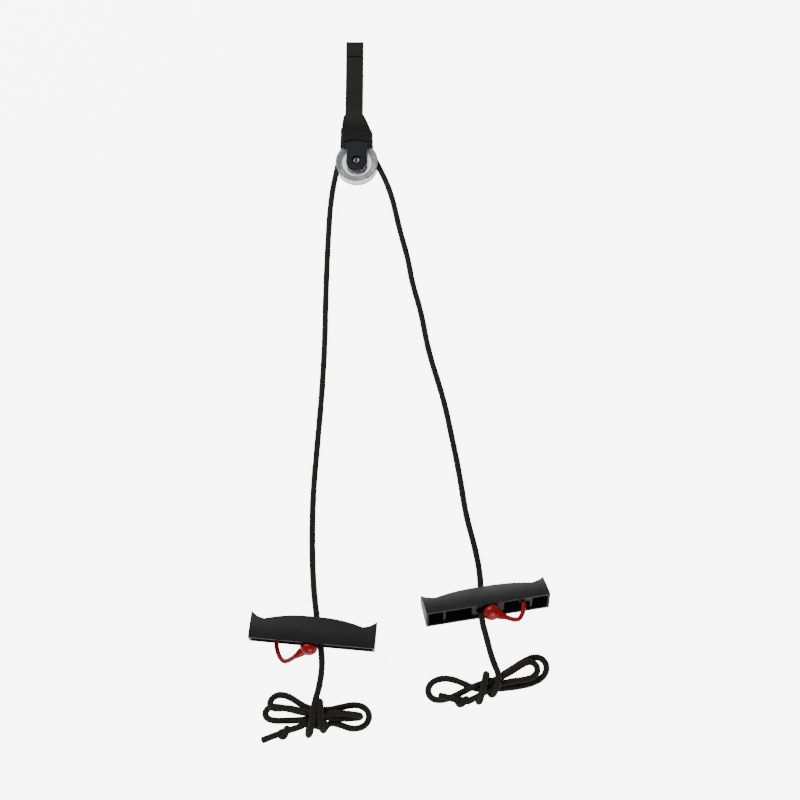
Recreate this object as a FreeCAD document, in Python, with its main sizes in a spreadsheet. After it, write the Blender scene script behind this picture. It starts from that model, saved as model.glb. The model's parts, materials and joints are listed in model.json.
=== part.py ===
import FreeCAD, Part
import Sketcher
import math
import os
import re

# A cord-and-pulley reach set: a webbing strap carries a small sheave block, and one braided cord runs
# over the sheave to two moulded T-handles, each held on the cord by a tethered wedge plug.
# The set lies flat on its back. +X is right, +Y runs towards the strap's free end, +Z is up.
# The origin is on the surface it lies on, under the middle of the strap, block and handles.

Vector = FreeCAD.Vector
Rotation = FreeCAD.Rotation
Placement = FreeCAD.Placement

SIZES = {
    # where the block sits, and its moulded halves
    "axle_x": -44.0, "axle_y": 186.0,
    "cheek_width": 22.0, "cheek_bottom": 11.9, "cheek_thickness": 2.4, "neck_height": 10.0,
    "fan_width": 32.6, "fan_corner": 18.7, "fan_top": 23.1, "cheek_bevel": 0.7,
    "recess_diameter": 10.4, "recess_depth": 1.5,
    "crown_width": 31.0, "crown_top": 26.8, "crown_step": 1.2, "crown_arm": 3.5,
    "bar_height": 34.0, "bar_diameter": 5.0,
    # sheave and axle
    "sheave_diameter": 44.5, "sheave_width": 12.5, "pitch_radius": 19.2, "groove_gap": 0.25,
    "hub_diameter": 15.0, "face_dish": 1.3, "rim_thickness": 1.4,
    "side_gap": 0.35, "run_clearance": 0.05, "fit_clearance": 0.05,
    "spacer_diameter": 8.0, "rivet_diameter": 5.0, "rivet_bore": 2.2,
    "rivet_head": 6.6, "head_thickness": 0.9, "washer_diameter": 9.6, "washer_thickness": 0.45,
    # strap
    "strap_width": 19.0, "strap_ply": 1.5, "strap_shift": -3.6, "strap_top": 148.8,
    "flare_width": 33.0, "flare_top": 60.0, "strap_start": 43.2, "strap_landing": 72.0,
    "hem_length": 18.3, "stitch_length": 2.2, "stitch_width": 0.7, "loop_width": 22.0,
    "cuff_wall": 1.1, "cuff_width": 34.3, "cuff_bottom": 23.9, "cuff_top": 41.2,
    # cord
    "cord_diameter": 6.0, "knot_diameter": 12.0, "tube_gap": 0.3,
    # handle
    "handle_length": 121.0, "handle_depth": 20.0, "handle_top_depth": 8.4, "arch_height": 26.6,
    "saddle_height": 20.3, "saddle_place": 47.0, "horn_height": 27.2, "handle_wall": 1.9,
    "cell_depth": 16.5, "cell_taper": 6.0, "rib_place": 42.5, "rib_thickness": 1.8, "boss_width": 31.0,
    "rib_recess": 2.0, "cell_corner": 1.6, "boss_slope": 3.5, "edge_land": 1.4,
    "side_swell": 1.1, "end_wall": 2.2, "ledge_width": 7.0, "ledge_depth": 5.4, "socket_place": -34.3,
    "cord_passage": 6.8, "handle_fillet": 1.4,
    # plug and tether
    "plug_place": -3.6, "plug_drop": 3.2, "ball_width": 15.8, "ball_height": 15.0,
    "stem_diameter": 7.2, "stem_tip": 5.6, "stem_length": 14.0, "seat_gap": 0.5, "neck_root": 9.0,
    "neck_length": 12.5, "tether_diameter": 4.6, "tether_gap": 0.5, "socket_gap": 0.15,
}

# Where each handle's open edge has its middle, and how it is turned: yaw, pitch and roll in degrees.
HANDLES = {
    "left": {"place": (-83.0, -319.6), "turn": Rotation(-5.2, 0.0, -2.0)},
    "right": {"place": (85.8, -288.8),
              "turn": Rotation(10.0, 6.0, -30.0) * Rotation(Vector(0, 1, 0), 180.0)},
}
FLOOR_GAP = 0.05

# The cord's line through each handle, in the handle's own frame: x at its open edge and at its top.
CORD_LINE = {"left": (8.8, 2.2), "right": (7.4, 0.9)}
# Which way the plug's neck runs to its tether, and how far behind the middle the tether's socket sits.
NECK_WAY = Vector(-7.1, -5.4, -0.6).normalize()
SOCKET_Z = -4.0

doc = FreeCAD.newDocument("reach_set")
sheet = doc.addObject("Spreadsheet::Sheet", "Sizes")
for row, (alias, value) in enumerate(SIZES.items(), start=1):
    sheet.set("A%d" % row, alias)
    sheet.set("B%d" % row, str(value))
    sheet.setAlias("B%d" % row, alias)
doc.recompute()

NODES = {}


def cells(text):
    """The expression with each size's name pointing at its cell."""
    return re.sub(r"[a-z_]+", lambda word: "Sizes." + word[0] if word[0] in SIZES else word[0], str(text))


def value(text):
    """What an expression in the sheet's sizes comes to now."""
    result = sheet.evalExpression(cells(text))
    return float(getattr(result, "Value", result))


def bind(thing, **properties):
    for name, text in properties.items():
        thing.setExpression(name.replace("__", "."), cells(text))
    return thing


def keep(node, thing, place=None):
    """Makes an object the named sub-part that is exported."""
    thing.Label = node
    if place is not None:
        thing.Placement = place
    NODES[node] = thing
    return thing


def new_body(name):
    return doc.addObject("PartDesign::Body", name)


def new_sketch(body, name, role, lift="0"):
    """An empty sketch on one of the body's own origin planes, raised along the plane's normal."""
    sketch = body.newObject("Sketcher::SketchObject", name)
    plane = [item for item in body.Origin.OriginFeatures if item.Role == role][0]
    sketch.AttachmentSupport = (plane, [""])
    sketch.MapMode = "FlatFace"
    sketch.setExpression("AttachmentOffset.Base.z", cells(lift))
    return sketch


def fix_corner(sketch, edge, end, x, y):
    for kind, text, axis in (("DistanceX", x, -2), ("DistanceY", y, -1)):
        if abs(value(text)) < 1e-9:
            sketch.addConstraint(Sketcher.Constraint("PointOnObject", edge, end, axis))
            continue
        index = sketch.addConstraint(Sketcher.Constraint(kind, -1, 1, edge, end, value(text)))
        sketch.setExpression("Constraints[%d]" % index, cells(text))


def outline(sketch, corners):
    """A closed outline. A corner of four texts has an arc to the next one, through its second pair."""
    points = [Vector(value(corner[0]), value(corner[1]), 0) for corner in corners]
    ends = []
    for index, corner in enumerate(corners):
        start, stop = points[index], points[(index + 1) % len(corners)]
        if len(corner) == 4:
            through = Vector(value(corner[2]), value(corner[3]), 0)
            edge = sketch.addGeometry(Part.Arc(start, through, stop))
            radius = sketch.Geometry[edge].Radius
            if start.distanceToPoint(stop) < 1.999 * radius:
                sketch.addConstraint(Sketcher.Constraint("Radius", edge, radius))
        else:
            edge = sketch.addGeometry(Part.LineSegment(start, stop))
        forward = sketch.getPoint(edge, 1).distanceToPoint(start) < 1e-6
        ends.append((edge, 1, 2) if forward else (edge, 2, 1))
    for index, (edge, first, last) in enumerate(ends):
        following = ends[(index + 1) % len(ends)]
        sketch.addConstraint(Sketcher.Constraint("Coincident", edge, last, following[0], following[1]))
        fix_corner(sketch, edge, first, corners[index][0], corners[index][1])
    return sketch


def circle(sketch, x, y, diameter):
    middle = Vector(value(x), value(y), 0)
    edge = sketch.addGeometry(Part.Circle(middle, Vector(0, 0, 1), value(diameter) / 2))
    fix_corner(sketch, edge, 3, x, y)
    index = sketch.addConstraint(Sketcher.Constraint("Radius", edge, value(diameter) / 2))
    sketch.setExpression("Constraints[%d]" % index, cells("(%s) / 2" % diameter))
    return sketch


def grow(body, kind, name, sketch, length, reverse=False, taper=None):
    """A Pad or a Pocket of a sketch."""
    feature = body.newObject("PartDesign::" + kind, name)
    feature.Profile = sketch
    feature.Type = 0
    feature.Reversed = reverse
    feature.setExpression("Length", cells(length))
    if taper:
        feature.setExpression("TaperAngle", cells(taper))
    sketch.Visibility = False
    doc.recompute()
    return feature


def turned(name, corners, axis="V_Axis", role="XZ_Plane"):
    """A body turned from a half outline about one of its sketch's axes."""
    body = new_body(name)
    sketch = outline(new_sketch(body, name + "_profile", role), corners)
    feature = body.newObject("PartDesign::Revolution", name + "_turning")
    feature.Profile = sketch
    feature.ReferenceAxis = (sketch, [axis])
    feature.Angle = 360.0
    doc.recompute()
    return body


def block_place(turn=0.0):
    """The block's frame: on the axle, half-way between the two cheeks."""
    height = value("cheek_thickness + side_gap + sheave_width / 2")
    return Placement(Vector(value("axle_x"), value("axle_y"), height), Rotation(Vector(0, 1, 0), turn))


# ---------------------------------------------------------------- block

CHEEK_INNER = "(sheave_width / 2 + side_gap)"
CHEEK_OUTER = "(sheave_width / 2 + side_gap + cheek_thickness)"


def cheek(node, turn):
    """One moulded half: the fan-topped cheek, and half of the crown and bar above the sheave."""
    body = new_body(node)
    half = "cheek_width / 2"
    neck_x, neck_y = "cheek_width / 2 + 1.3", "neck_height + 6.4"
    plate = outline(new_sketch(body, node + "_plate", "XY_Plane", CHEEK_INNER), [
        ("-(%s)" % half, "0", "0", "-cheek_bottom"),
        (half, "0"),
        (half, "neck_height", neck_x, neck_y),
        ("fan_width / 2", "fan_corner", "0", "fan_top"),
        ("-fan_width / 2", "fan_corner", "-(%s)" % neck_x, neck_y),
        ("-(%s)" % half, "neck_height"),
    ])
    pad = grow(body, "Pad", node + "_pad", plate, "cheek_thickness")
    top = value(CHEEK_OUTER)
    rim = ["Edge%d" % (i + 1) for i, edge in enumerate(pad.Shape.Edges)
           if min(vertex.Z for vertex in edge.Vertexes) > top - 1e-4]
    bevel = body.newObject("PartDesign::Chamfer", node + "_bevel")
    bevel.Base = (pad, rim)
    bevel.setExpression("Size", cells("cheek_bevel"))
    doc.recompute()
    recess = circle(new_sketch(body, node + "_recess_outline", "XY_Plane", CHEEK_OUTER), "0", "0",
                    "recess_diameter")
    grow(body, "Pocket", node + "_recess", recess, "recess_depth")
    hole = circle(new_sketch(body, node + "_hole_outline", "XY_Plane", CHEEK_OUTER), "0", "0",
                  "rivet_diameter + 2 * fit_clearance")
    grow(body, "Pocket", node + "_hole", hole, "2 * cheek_thickness")
    side = "crown_width / 2"
    tab = outline(new_sketch(body, node + "_tab_outline", "XY_Plane", CHEEK_INNER), [
        ("-(%s)" % side, "fan_corner - 4"), (side, "fan_corner - 4"), (side, "crown_top"),
        ("-(%s)" % side, "crown_top")])
    grow(body, "Pad", node + "_tab", tab, "crown_step")
    low = "sqrt((sheave_diameter / 2 + 0.8)^2 - (crown_width / 2)^2)"
    bridge = outline(new_sketch(body, node + "_bridge_outline", "XY_Plane"), [
        (side, low, "0", "sheave_diameter / 2 + 0.8"), ("-(%s)" % side, low),
        ("-(%s)" % side, "crown_top"), (side, "crown_top")])
    grow(body, "Pad", node + "_bridge", bridge, CHEEK_INNER + " + crown_step")
    for hand, sign in (("left", "-"), ("right", "")):
        outer, inner = sign + "crown_width / 2", sign + "(crown_width / 2 - crown_arm)"
        arm = outline(new_sketch(body, "%s_%s_arm_outline" % (node, hand), "XY_Plane"), [
            (inner, "crown_top - 1"), (outer, "crown_top - 1"),
            (outer, "bar_height"), (inner, "bar_height")])
        grow(body, "Pad", "%s_%s_arm" % (node, hand), arm, "bar_diameter / 2")
    bar = outline(new_sketch(body, node + "_bar_outline", "YZ_Plane", "-crown_width / 2"), [
        ("bar_height + bar_diameter / 2", "0", "bar_height", "bar_diameter / 2"),
        ("bar_height - bar_diameter / 2", "0")])
    grow(body, "Pad", node + "_bar", bar, "crown_width")
    return keep(node, body, block_place(turn))


def axle_parts():
    """Spacer tube, hollow rivet with rolled heads and the washer under its back head."""
    face = CHEEK_OUTER + " - recess_depth"
    spacer = turned("axle_spacer", [
        ("rivet_diameter / 2 + fit_clearance", "-" + CHEEK_INNER),
        ("spacer_diameter / 2", "-" + CHEEK_INNER),
        ("spacer_diameter / 2", CHEEK_INNER), ("rivet_diameter / 2 + fit_clearance", CHEEK_INNER)])
    keep("axle_spacer", spacer, block_place())
    back = "-(%s + washer_thickness)" % face
    head = "rivet_head / 2"
    rivet = turned("axle_rivet", [
        ("rivet_bore / 2", back + " - head_thickness * 0.6", "rivet_bore / 2 + 0.5",
         back + " - head_thickness * 0.92"),
        ("rivet_bore / 2 + 1.1", back + " - head_thickness",
         head + " - 0.2", back + " - head_thickness * 0.8"),
        (head, back),
        ("rivet_diameter / 2", back),
        ("rivet_diameter / 2", face),
        (head, face, head + " - 0.2", face + " + head_thickness * 0.8"),
        ("rivet_bore / 2 + 1.1", face + " + head_thickness", "rivet_bore / 2 + 0.5",
         face + " + head_thickness * 0.92"),
        ("rivet_bore / 2", face + " + head_thickness * 0.6"),
    ])
    keep("axle_rivet", rivet, block_place())
    washer = turned("rivet_washer", [
        ("rivet_diameter / 2 + fit_clearance", back), ("washer_diameter / 2", back),
        ("washer_diameter / 2", "-(%s)" % face), ("rivet_diameter / 2 + fit_clearance", "-(%s)" % face)])
    keep("rivet_washer", washer, block_place())


def sheave():
    """The grooved wheel: a raised hub, dished faces, thin rims and a round-bottomed groove."""
    half, rim = "sheave_width / 2", "sheave_diameter / 2"
    root = "(pitch_radius - cord_diameter / 2 - groove_gap)"
    bore = "spacer_diameter / 2 + run_clearance"
    lip = "(sheave_width / 2 - rim_thickness)"
    upper = [
        (bore, half), ("hub_diameter / 2", half), ("hub_diameter / 2 + 1", half + " - face_dish"),
        (root + " - 1.5", half + " - face_dish"), (rim + " - 1.2", half + " - 0.1"),
        (rim, half + " - 0.5"), (rim, lip), (root + " + 2.8", "cord_diameter * 0.62"),
        (root + " + 0.9", "cord_diameter * 0.52"), (root, "cord_diameter * 0.26"),
    ]
    lower = [(x, "-(%s)" % z) for x, z in reversed(upper)]
    keep("sheave", turned("sheave", upper + lower), block_place())


# ---------------------------------------------------------------- strap

STRAP_MID = "(cheek_thickness + side_gap + sheave_width / 2)"


def strap_place(height=0.0):
    return Placement(Vector(value("axle_x + strap_shift"), value("axle_y"), height), Rotation())


def strap_webbing():
    """Two plies of webbing: flared where they leave the cuff, then lying flat on the surface."""
    mid = STRAP_MID
    side = new_body("strap_side")
    profile = outline(new_sketch(side, "strap_side_outline", "YZ_Plane", "-flare_width / 2"), [
        ("strap_start + strap_ply", mid + " - strap_ply", "strap_start", mid),
        ("strap_start + strap_ply", mid + " + strap_ply"),
        ("strap_landing + strap_ply / 2", "2 * strap_ply"), ("strap_top", "2 * strap_ply"),
        ("strap_top", "0"), ("strap_landing", "0")])
    grow(side, "Pad", "strap_side_pad", profile, "flare_width")
    plan = new_body("strap_plan")
    half, flare = "strap_width / 2", "flare_width / 2"
    shape = outline(new_sketch(plan, "strap_plan_outline", "XY_Plane", "-strap_ply"), [
        ("-(%s)" % half, "flare_top"), ("-(%s)" % flare, "strap_start - 1"), (flare, "strap_start - 1"),
        (half, "flare_top"), (half, "strap_top + 1"), ("-(%s)" % half, "strap_top + 1")])
    grow(plan, "Pad", "strap_plan_pad", shape, "4 * " + mid)
    webbing = doc.addObject("Part::Common", "strap_webbing_form")
    webbing.Base, webbing.Tool = side, plan
    doc.recompute()
    keep("strap_webbing", webbing, strap_place())


def strap_hem():
    """The strap's end turned over on to its front face and sewn down."""
    hem = doc.addObject("Part::Box", "strap_hem_form")
    bind(hem, Length="strap_width", Width="hem_length", Height="strap_ply")
    keep("strap_hem", hem)
    hem.Placement = Placement(
        Vector(value("axle_x + strap_shift - strap_width / 2"), value("axle_y + strap_top - hem_length"),
               value("2 * strap_ply")), Rotation())


def hem_stitching():
    """Two rows of short stitches across the hem, and one down each of its sides."""
    length, width = value("stitch_length"), value("stitch_width")
    top = value("3 * strap_ply")
    left = value("axle_x + strap_shift - strap_width / 2") + 1.6
    right = left + value("strap_width") - 3.2
    low = value("axle_y + strap_top - hem_length") + 1.6
    high = low + value("hem_length") - 4.4
    stitches = []
    count = int((right - left) // (1.5 * length))
    pitch = (right - left) / count
    for level in (low, high):
        for index in range(count):
            stitches.append(Part.makeBox(length, width, width / 2,
                                         Vector(left + (index + 0.5) * pitch - length / 2, level, top)))
    count = int((high - low) // (1.5 * length))
    pitch = (high - low) / count
    for across in (left, right - width):
        for index in range(1, count):
            stitches.append(Part.makeBox(width, length, width / 2,
                                         Vector(across, low + index * pitch - length / 2, top)))
    group = doc.addObject("Part::Feature", "hem_stitching_form")
    group.Shape = Part.makeCompound(stitches)
    keep("hem_stitching", group)


def strap_loop():
    """The webbing's turn round the crown bar, inside the cuff."""
    inner = "(bar_diameter / 2 + 0.15)"
    outer = "(bar_diameter / 2 + 0.15 + strap_ply)"
    body = new_body("strap_loop")
    profile = outline(new_sketch(body, "strap_loop_outline", "YZ_Plane", "-loop_width / 2"), [
        ("bar_height", outer, "bar_height - " + outer, "0"), ("bar_height", "-" + outer),
        ("cuff_top - 0.2", "-" + outer), ("cuff_top - 0.2", "-" + inner),
        ("bar_height", "-" + inner, "bar_height - " + inner, "0"), ("bar_height", inner),
        ("cuff_top - 0.2", inner), ("cuff_top - 0.2", outer)])
    grow(body, "Pad", "strap_loop_pad", profile, "loop_width")
    keep("strap_loop", body, block_place())


def strap_cuff():
    """The heavy woven sleeve drawn over the crown and the folded webbing."""
    deep = "(%s + crown_step + 0.1)" % CHEEK_INNER
    body = new_body("strap_cuff")
    corner = 2.6
    outer_x, outer_z = "(cuff_width / 2)", "(%s + cuff_wall)" % deep

    def ring(name, x, z, radius):
        bend = radius * (1 - math.sqrt(0.5))
        sketch = new_sketch(body, name, "XZ_Plane", "-cuff_top")
        across, high = "(%s - %.3f)" % (x, radius), "(%s - %.3f)" % (z, radius)
        turn_x, turn_z = "%s - %.4f" % (x, bend), "%s - %.4f" % (z, bend)
        return outline(sketch, [
            ("-" + across, "-" + z), (across, "-" + z, turn_x, "-(%s)" % turn_z), (x, "-" + high),
            (x, high, turn_x, turn_z), (across, z), ("-" + across, z, "-(%s)" % turn_x, turn_z),
            ("-" + x, high), ("-" + x, "-" + high, "-(%s)" % turn_x, "-(%s)" % turn_z)])

    grow(body, "Pad", "cuff_pad", ring("cuff_outline", outer_x, outer_z, corner), "cuff_top - cuff_bottom")
    hollow = ring("cuff_hollow_outline", "(crown_width / 2 + 0.3)", deep, 0.3)
    grow(body, "Pocket", "cuff_hollow", hollow, "cuff_top - cuff_bottom + 1", reverse=True)
    keep("strap_cuff", body, block_place())


# ---------------------------------------------------------------- cord

def cord_tube(node, points, diameter):
    """A round tube along straight runs joined by tangent arcs as large as the runs allow."""
    points = [Vector(*point) for point in points]
    edges, radii, start = [], [], points[0]
    for before, corner, after in zip(points, points[1:], points[2:]):
        into = (corner - before).normalize()
        out = (after - corner).normalize()
        reach = 0.45 * min((corner - before).Length, (after - corner).Length)
        half = into.getAngle(out) / 2
        radius = reach / math.tan(half)
        radii.append(radius)
        inward = (out - into).normalize()
        middle = corner + inward * (radius / math.cos(half) - radius)
        edges.append(Part.LineSegment(start, corner - into * reach).toShape())
        edges.append(Part.Arc(corner - into * reach, middle, corner + out * reach).toShape())
        start = corner + out * reach
    edges.append(Part.LineSegment(start, points[-1]).toShape())
    path = Part.Wire(edges)
    section = Part.Wire([Part.Circle(points[0], points[1] - points[0], diameter / 2).toShape()])
    tube = path.makePipeShell([section], True, False)
    expected = path.Length * math.pi * diameter ** 2 / 4
    print("%s: length %.1f mm, volume ratio %.4f, arc radii %s"
          % (node, path.Length, tube.Volume / expected, " ".join("%.0f" % radius for radius in radii)))
    if abs(tube.Volume / expected - 1) > 0.01:
        raise RuntimeError(node + ": the tube's volume is not its section times its length")
    thing = doc.addObject("Part::Feature", node + "_form")
    thing.Shape = tube
    return keep(node, thing)


def leave_sheave(target, side):
    """The angle on the sheave where a cord running to target leaves it, side +1 right or -1 left."""
    away = Vector(target[0] - value("axle_x"), target[1] - value("axle_y"), 0)
    lean = math.acos(value("pitch_radius") / away.Length)
    return (math.atan2(away.y, away.x) + side * lean) % (2 * math.pi)


def on_sheave(angle):
    mid = value(STRAP_MID)
    radius = value("pitch_radius")
    return (value("axle_x") + radius * math.cos(angle), value("axle_y") + radius * math.sin(angle), mid)


# Hand-chosen points of the two runs, from just below the sheave, through the handles, to the hanks.
LEFT_RUN = [
    (-71.0, 147.0, 9.0), (-73.6, 96.0, 4.4), (-75.0, 41.0, 3.0), (-75.2, -14.0, 3.0), (-77.4, -68.0, 3.0),
    (-81.2, -121.0, 3.0), (-84.6, -172.0, 3.0), (-84.6, -222.0, 3.0), (-83.0, -252.0, 6.2),
    (-80.7, -278.7, 8.7), (-73.1, -327.5, 10.4), (-72.8, -342.0, 6.2), (-74.6, -358.0, 3.6),
    (-78.4, -374.0, 5.5),
]
RIGHT_RUN = [
    (-8.2, 155.4, 9.0), (1.2, 111.0, 6.0), (9.6, 81.6, 3.4), (14.2, 53.0, 3.0), (23.6, 20.0, 3.0),
    (30.0, -20.0, 3.0), (45.6, -72.0, 3.0), (53.4, -112.0, 3.0), (60.6, -150.0, 3.0), (66.4, -192.0, 3.0),
    (75.0, -224.0, 3.0), (80.1, -253.8, 3.1), (78.3, -297.2, 28.7), (83.4, -314.0, 23.0),
    (88.0, -329.5, 11.0), (92.0, -339.5, 5.4), (95.6, -348.0, 5.0),
]
LEFT_TAIL = [(-86.0, -390.0, 4.6), (-98.0, -397.6, 3.4), (-108.8, -401.4, 3.0), (-119.4, -404.0, 3.0),
             (-129.3, -408.8, 3.0)]
RIGHT_TAIL = [(72.0, -368.4, 4.6), (60.3, -371.8, 3.4), (49.2, -370.9, 3.0), (37.6, -367.5, 3.0)]


def cord_over_sheave():
    left, right = leave_sheave(LEFT_RUN[0], -1), leave_sheave(RIGHT_RUN[0], 1)
    gap = value("tube_gap / pitch_radius")
    left, right = left - gap, right + gap
    middle = (left + right) / 2
    arc = Part.Arc(*[Vector(*on_sheave(angle)) for angle in (right, middle, left)]).toShape()
    direction = Vector(-math.sin(right), math.cos(right), 0)
    ring = Part.Circle(Vector(*on_sheave(right)), direction, value("cord_diameter / 2"))
    section = Part.Wire([ring.toShape()])
    thing = doc.addObject("Part::Feature", "cord_over_sheave_form")
    thing.Shape = Part.Wire([arc]).makePipeShell([section], True, False)
    return keep("cord_over_sheave", thing)


# ---------------------------------------------------------------- handles

def handle_form():
    """The moulded T-handle, open along its lower edge, in its own frame: x along, y up, z through."""
    body = new_body("handle_moulding")
    half, top = "handle_depth / 2", "handle_top_depth / 2"
    high = "(horn_height + 1)"
    swelled = "(handle_depth * 0.3 + handle_top_depth * 0.2 + side_swell)"
    section = outline(new_sketch(body, "handle_section", "YZ_Plane", "-handle_length / 2"), [
        ("0", "-" + half), ("edge_land", "-" + half, high + " / 2", "-" + swelled), (high, "-" + top),
        (high, top, high + " / 2", swelled), ("edge_land", half), ("0", half)])
    grow(body, "Pad", "handle_bar", section, "handle_length")
    end, saddle = "handle_length / 2", "saddle_place"
    shoulder = "saddle_height + (arch_height - saddle_height) * 0.78"
    dip_x = "%s + (handle_length / 2 - saddle_place) * 0.45" % saddle
    dip_y = "saddle_height + (horn_height - saddle_height) * 0.22"
    above = outline(new_sketch(body, "handle_top_outline", "XY_Plane", "-handle_depth"), [
        ("-(%s) - 1" % end, "horn_height + 0.6"),
        ("-(%s)" % end, "horn_height", "-(%s)" % dip_x, dip_y),
        ("-" + saddle, "saddle_height", "-saddle_place * 0.55", shoulder),
        ("-saddle_place * 0.14", "arch_height"),
        ("saddle_place * 0.14", "arch_height", "saddle_place * 0.55", shoulder),
        (saddle, "saddle_height", dip_x, dip_y),
        (end, "horn_height"), (end + " + 1", "horn_height + 0.6"),
        (end + " + 1", "horn_height + 3"), ("-(%s) - 1" % end, "horn_height + 3")])
    cut = grow(body, "Pocket", "handle_top", above, "2 * handle_depth", reverse=True)
    return body, cut


def cell(body, name, corners, depth, taper=None):
    """A pocket cut upwards from the handle's open side, its outline in x and z."""
    sketch = outline(new_sketch(body, name + "_outline", "XZ_Plane"), corners)
    return grow(body, "Pocket", name, sketch, depth, taper=taper)


def handle_moulding():
    """The handle with its cells, ribs, boss, tether ledge, cord passages and plug seat."""
    body, top_cut = handle_form()
    crest = value("saddle_height") - 1.0
    ridge = ["Edge%d" % (i + 1) for i, edge in enumerate(top_cut.Shape.Edges)
             if all(vertex.Y > crest and abs(vertex.Z) > 1 for vertex in edge.Vertexes)
             and edge.BoundBox.ZLength < value("handle_top_depth") / 2]
    rounding = body.newObject("PartDesign::Fillet", "handle_ridge")
    rounding.Base = (top_cut, ridge)
    rounding.setExpression("Radius", cells("handle_fillet"))
    doc.recompute()
    inside, far = "(handle_depth / 2 - handle_wall)", "(handle_length / 2 - end_wall)"
    rib, boss, slope, round_end = "rib_thickness / 2", "boss_width / 2", "boss_slope", "cell_corner"
    for hand, sign in (("left", -1), ("right", 1)):
        def at(text):
            return "-(%s)" % text if sign < 0 else text

        corner_x, corner_z = "%s - %s" % (far, round_end), "%s - %s" % (inside, round_end)
        via_x = "%s - %s * 0.293" % (far, round_end)
        via_z = "%s - %s * 0.293" % (inside, round_end)
        cell(body, hand + "_end_cell", [
            (at("rib_place + " + rib), "-" + inside),
            (at(corner_x), "-" + inside, at(via_x), "-(%s)" % via_z),
            (at(far), "-(%s)" % corner_z), (at(far), corner_z, at(via_x), via_z), (at(corner_x), inside),
            (at("rib_place + " + rib), inside)], "cell_depth", "-cell_taper")
        near, boss_flat = "rib_place - " + rib, "%s - %s" % (boss, slope)
        corners = [(at(boss_flat), inside), (at(boss), "%s - %s" % (inside, slope)),
                   (at(boss), "-(%s - %s)" % (inside, slope)), (at(boss_flat), "-" + inside)]
        if sign < 0:
            ledge_end, ledge_z = "socket_place + ledge_width / 2", "-(%s) + ledge_depth" % inside
            corners += [(ledge_end, "-" + inside), (ledge_end, ledge_z),
                        (at(near), ledge_z), (at(near), inside)]
        else:
            corners += [(near, "-" + inside), (near, inside)]
        cell(body, hand + "_mid_cell", corners, "cell_depth", "-cell_taper")
    cell(body, "rib_recess_cut", [("-" + far, "-" + inside), (far, "-" + inside), (far, inside),
                                  ("-" + far, inside)], "rib_recess")
    body.Visibility = False
    tools = []
    for side, (edge_x, top_x) in CORD_LINE.items():
        lean = Vector(top_x - edge_x, value("arch_height"), 0)
        bore = bind(doc.addObject("Part::Cylinder", side + "_cord_bore"), Radius="cord_passage / 2",
                    Height="2 * handle_length / 3")
        bore.Placement = Placement(Vector(edge_x, 0, 0) - lean * 0.5, Rotation(Vector(0, 0, 1), lean))
        tools.append(bore)
    upright = Rotation(Vector(0, 0, 1), Vector(0, 1, 0))
    mouth = bind(doc.addObject("Part::Cone", "plug_mouth"), Radius1="ball_width / 2 - 0.1",
                 Radius2="stem_diameter / 2 + seat_gap", Height="stem_length / 2 - 0.5")
    mouth.Placement = Placement(Vector(value("plug_place"), -0.5, 0), upright)
    well = bind(doc.addObject("Part::Cylinder", "plug_well"), Radius="stem_diameter / 2 + seat_gap",
                Height="stem_length + 1")
    well.Placement = Placement(Vector(value("plug_place"), 0, 0), upright)
    socket = bind(doc.addObject("Part::Cylinder", "tether_socket"),
                  Radius="tether_diameter / 2 + socket_gap", Height="cell_depth - 2")
    socket.Placement = Placement(Vector(value("socket_place"), 0, SOCKET_Z), upright)
    tools += [mouth, well, socket]
    cuts = doc.addObject("Part::MultiFuse", "handle_cuts")
    cuts.Shapes = tools
    doc.recompute()
    return body, cuts


def handle_place(side):
    """The handle's frame: its rest position on the surface it lies on."""
    x, y = HANDLES[side]["place"]
    return Placement(Vector(x, y, HANDLES[side]["lift"]), HANDLES[side]["turn"])


def plug_form():
    """The soft wedge plug: a ball with a tapered stem, and the neck its tether springs from."""
    ball, tall, low = "ball_width / 2", "ball_height / 2", "plug_drop"
    meet = "-plug_drop + ball_height / 2 * sqrt(1 - (stem_diameter / ball_width)^2)"
    body = turned("plug_turned", [
        ("0", "-(%s) - %s" % (low, tall), ball + " * 0.7071", "-(%s) - %s * 0.7071" % (low, tall)),
        (ball, "-(%s)" % low, ball + " * 0.76", "-(%s) + %s * 0.65" % (low, tall)),
        ("stem_diameter / 2", meet), ("stem_tip / 2", "stem_length - 1"),
        ("stem_tip / 2 - 0.8", "stem_length"), ("0", "stem_length")], role="XY_Plane")
    body.Placement = Placement(Vector(value("plug_place"), 0, 0), Rotation())
    neck = bind(doc.addObject("Part::Cone", "plug_neck"), Radius1="neck_root / 2",
                Radius2="tether_diameter / 2", Height="neck_length")
    neck.Placement = Placement(plug_middle(), Rotation(Vector(0, 0, 1), NECK_WAY))
    return body, neck


def plug_middle():
    return Vector(value("plug_place"), -value("plug_drop"), 0)


def tether_route():
    """From the gap at the plug's neck, down round the loop and up into the ledge's socket."""
    start = plug_middle() + NECK_WAY * value("neck_length + tether_gap")
    socket = value("socket_place")
    return [tuple(start), (-19.6, -16.4, -1.2), (-24.6, -18.2, -2.0), (-28.8, -14.6, -2.9),
            (-32.2, -8.4, -3.6), (socket + 0.05, -1.2, SOCKET_Z), (socket, 8.0, SOCKET_Z)]


def handle_set(side, body, cuts):
    """A handle with its plug and tether, at rest."""
    handle = doc.addObject("Part::Cut", side + "_handle_form")
    handle.Base, handle.Tool = body, cuts
    doc.recompute()
    turned_shape = handle.Shape.copy()
    turned_shape.Placement = Placement(Vector(0, 0, 0), HANDLES[side]["turn"])
    HANDLES[side]["lift"] = FLOOR_GAP - turned_shape.optimalBoundingBox(False).ZMin
    place = handle_place(side)
    keep(side + "_handle", handle, place)
    turned_plug, neck = plug_form()
    plug = doc.addObject("Part::Fuse", side + "_plug_form")
    plug.Base, plug.Tool = turned_plug, neck
    keep(side + "_plug", plug, place)
    tether = cord_tube(side + "_tether", tether_route(), value("tether_diameter"))
    tether.Placement = place


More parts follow.
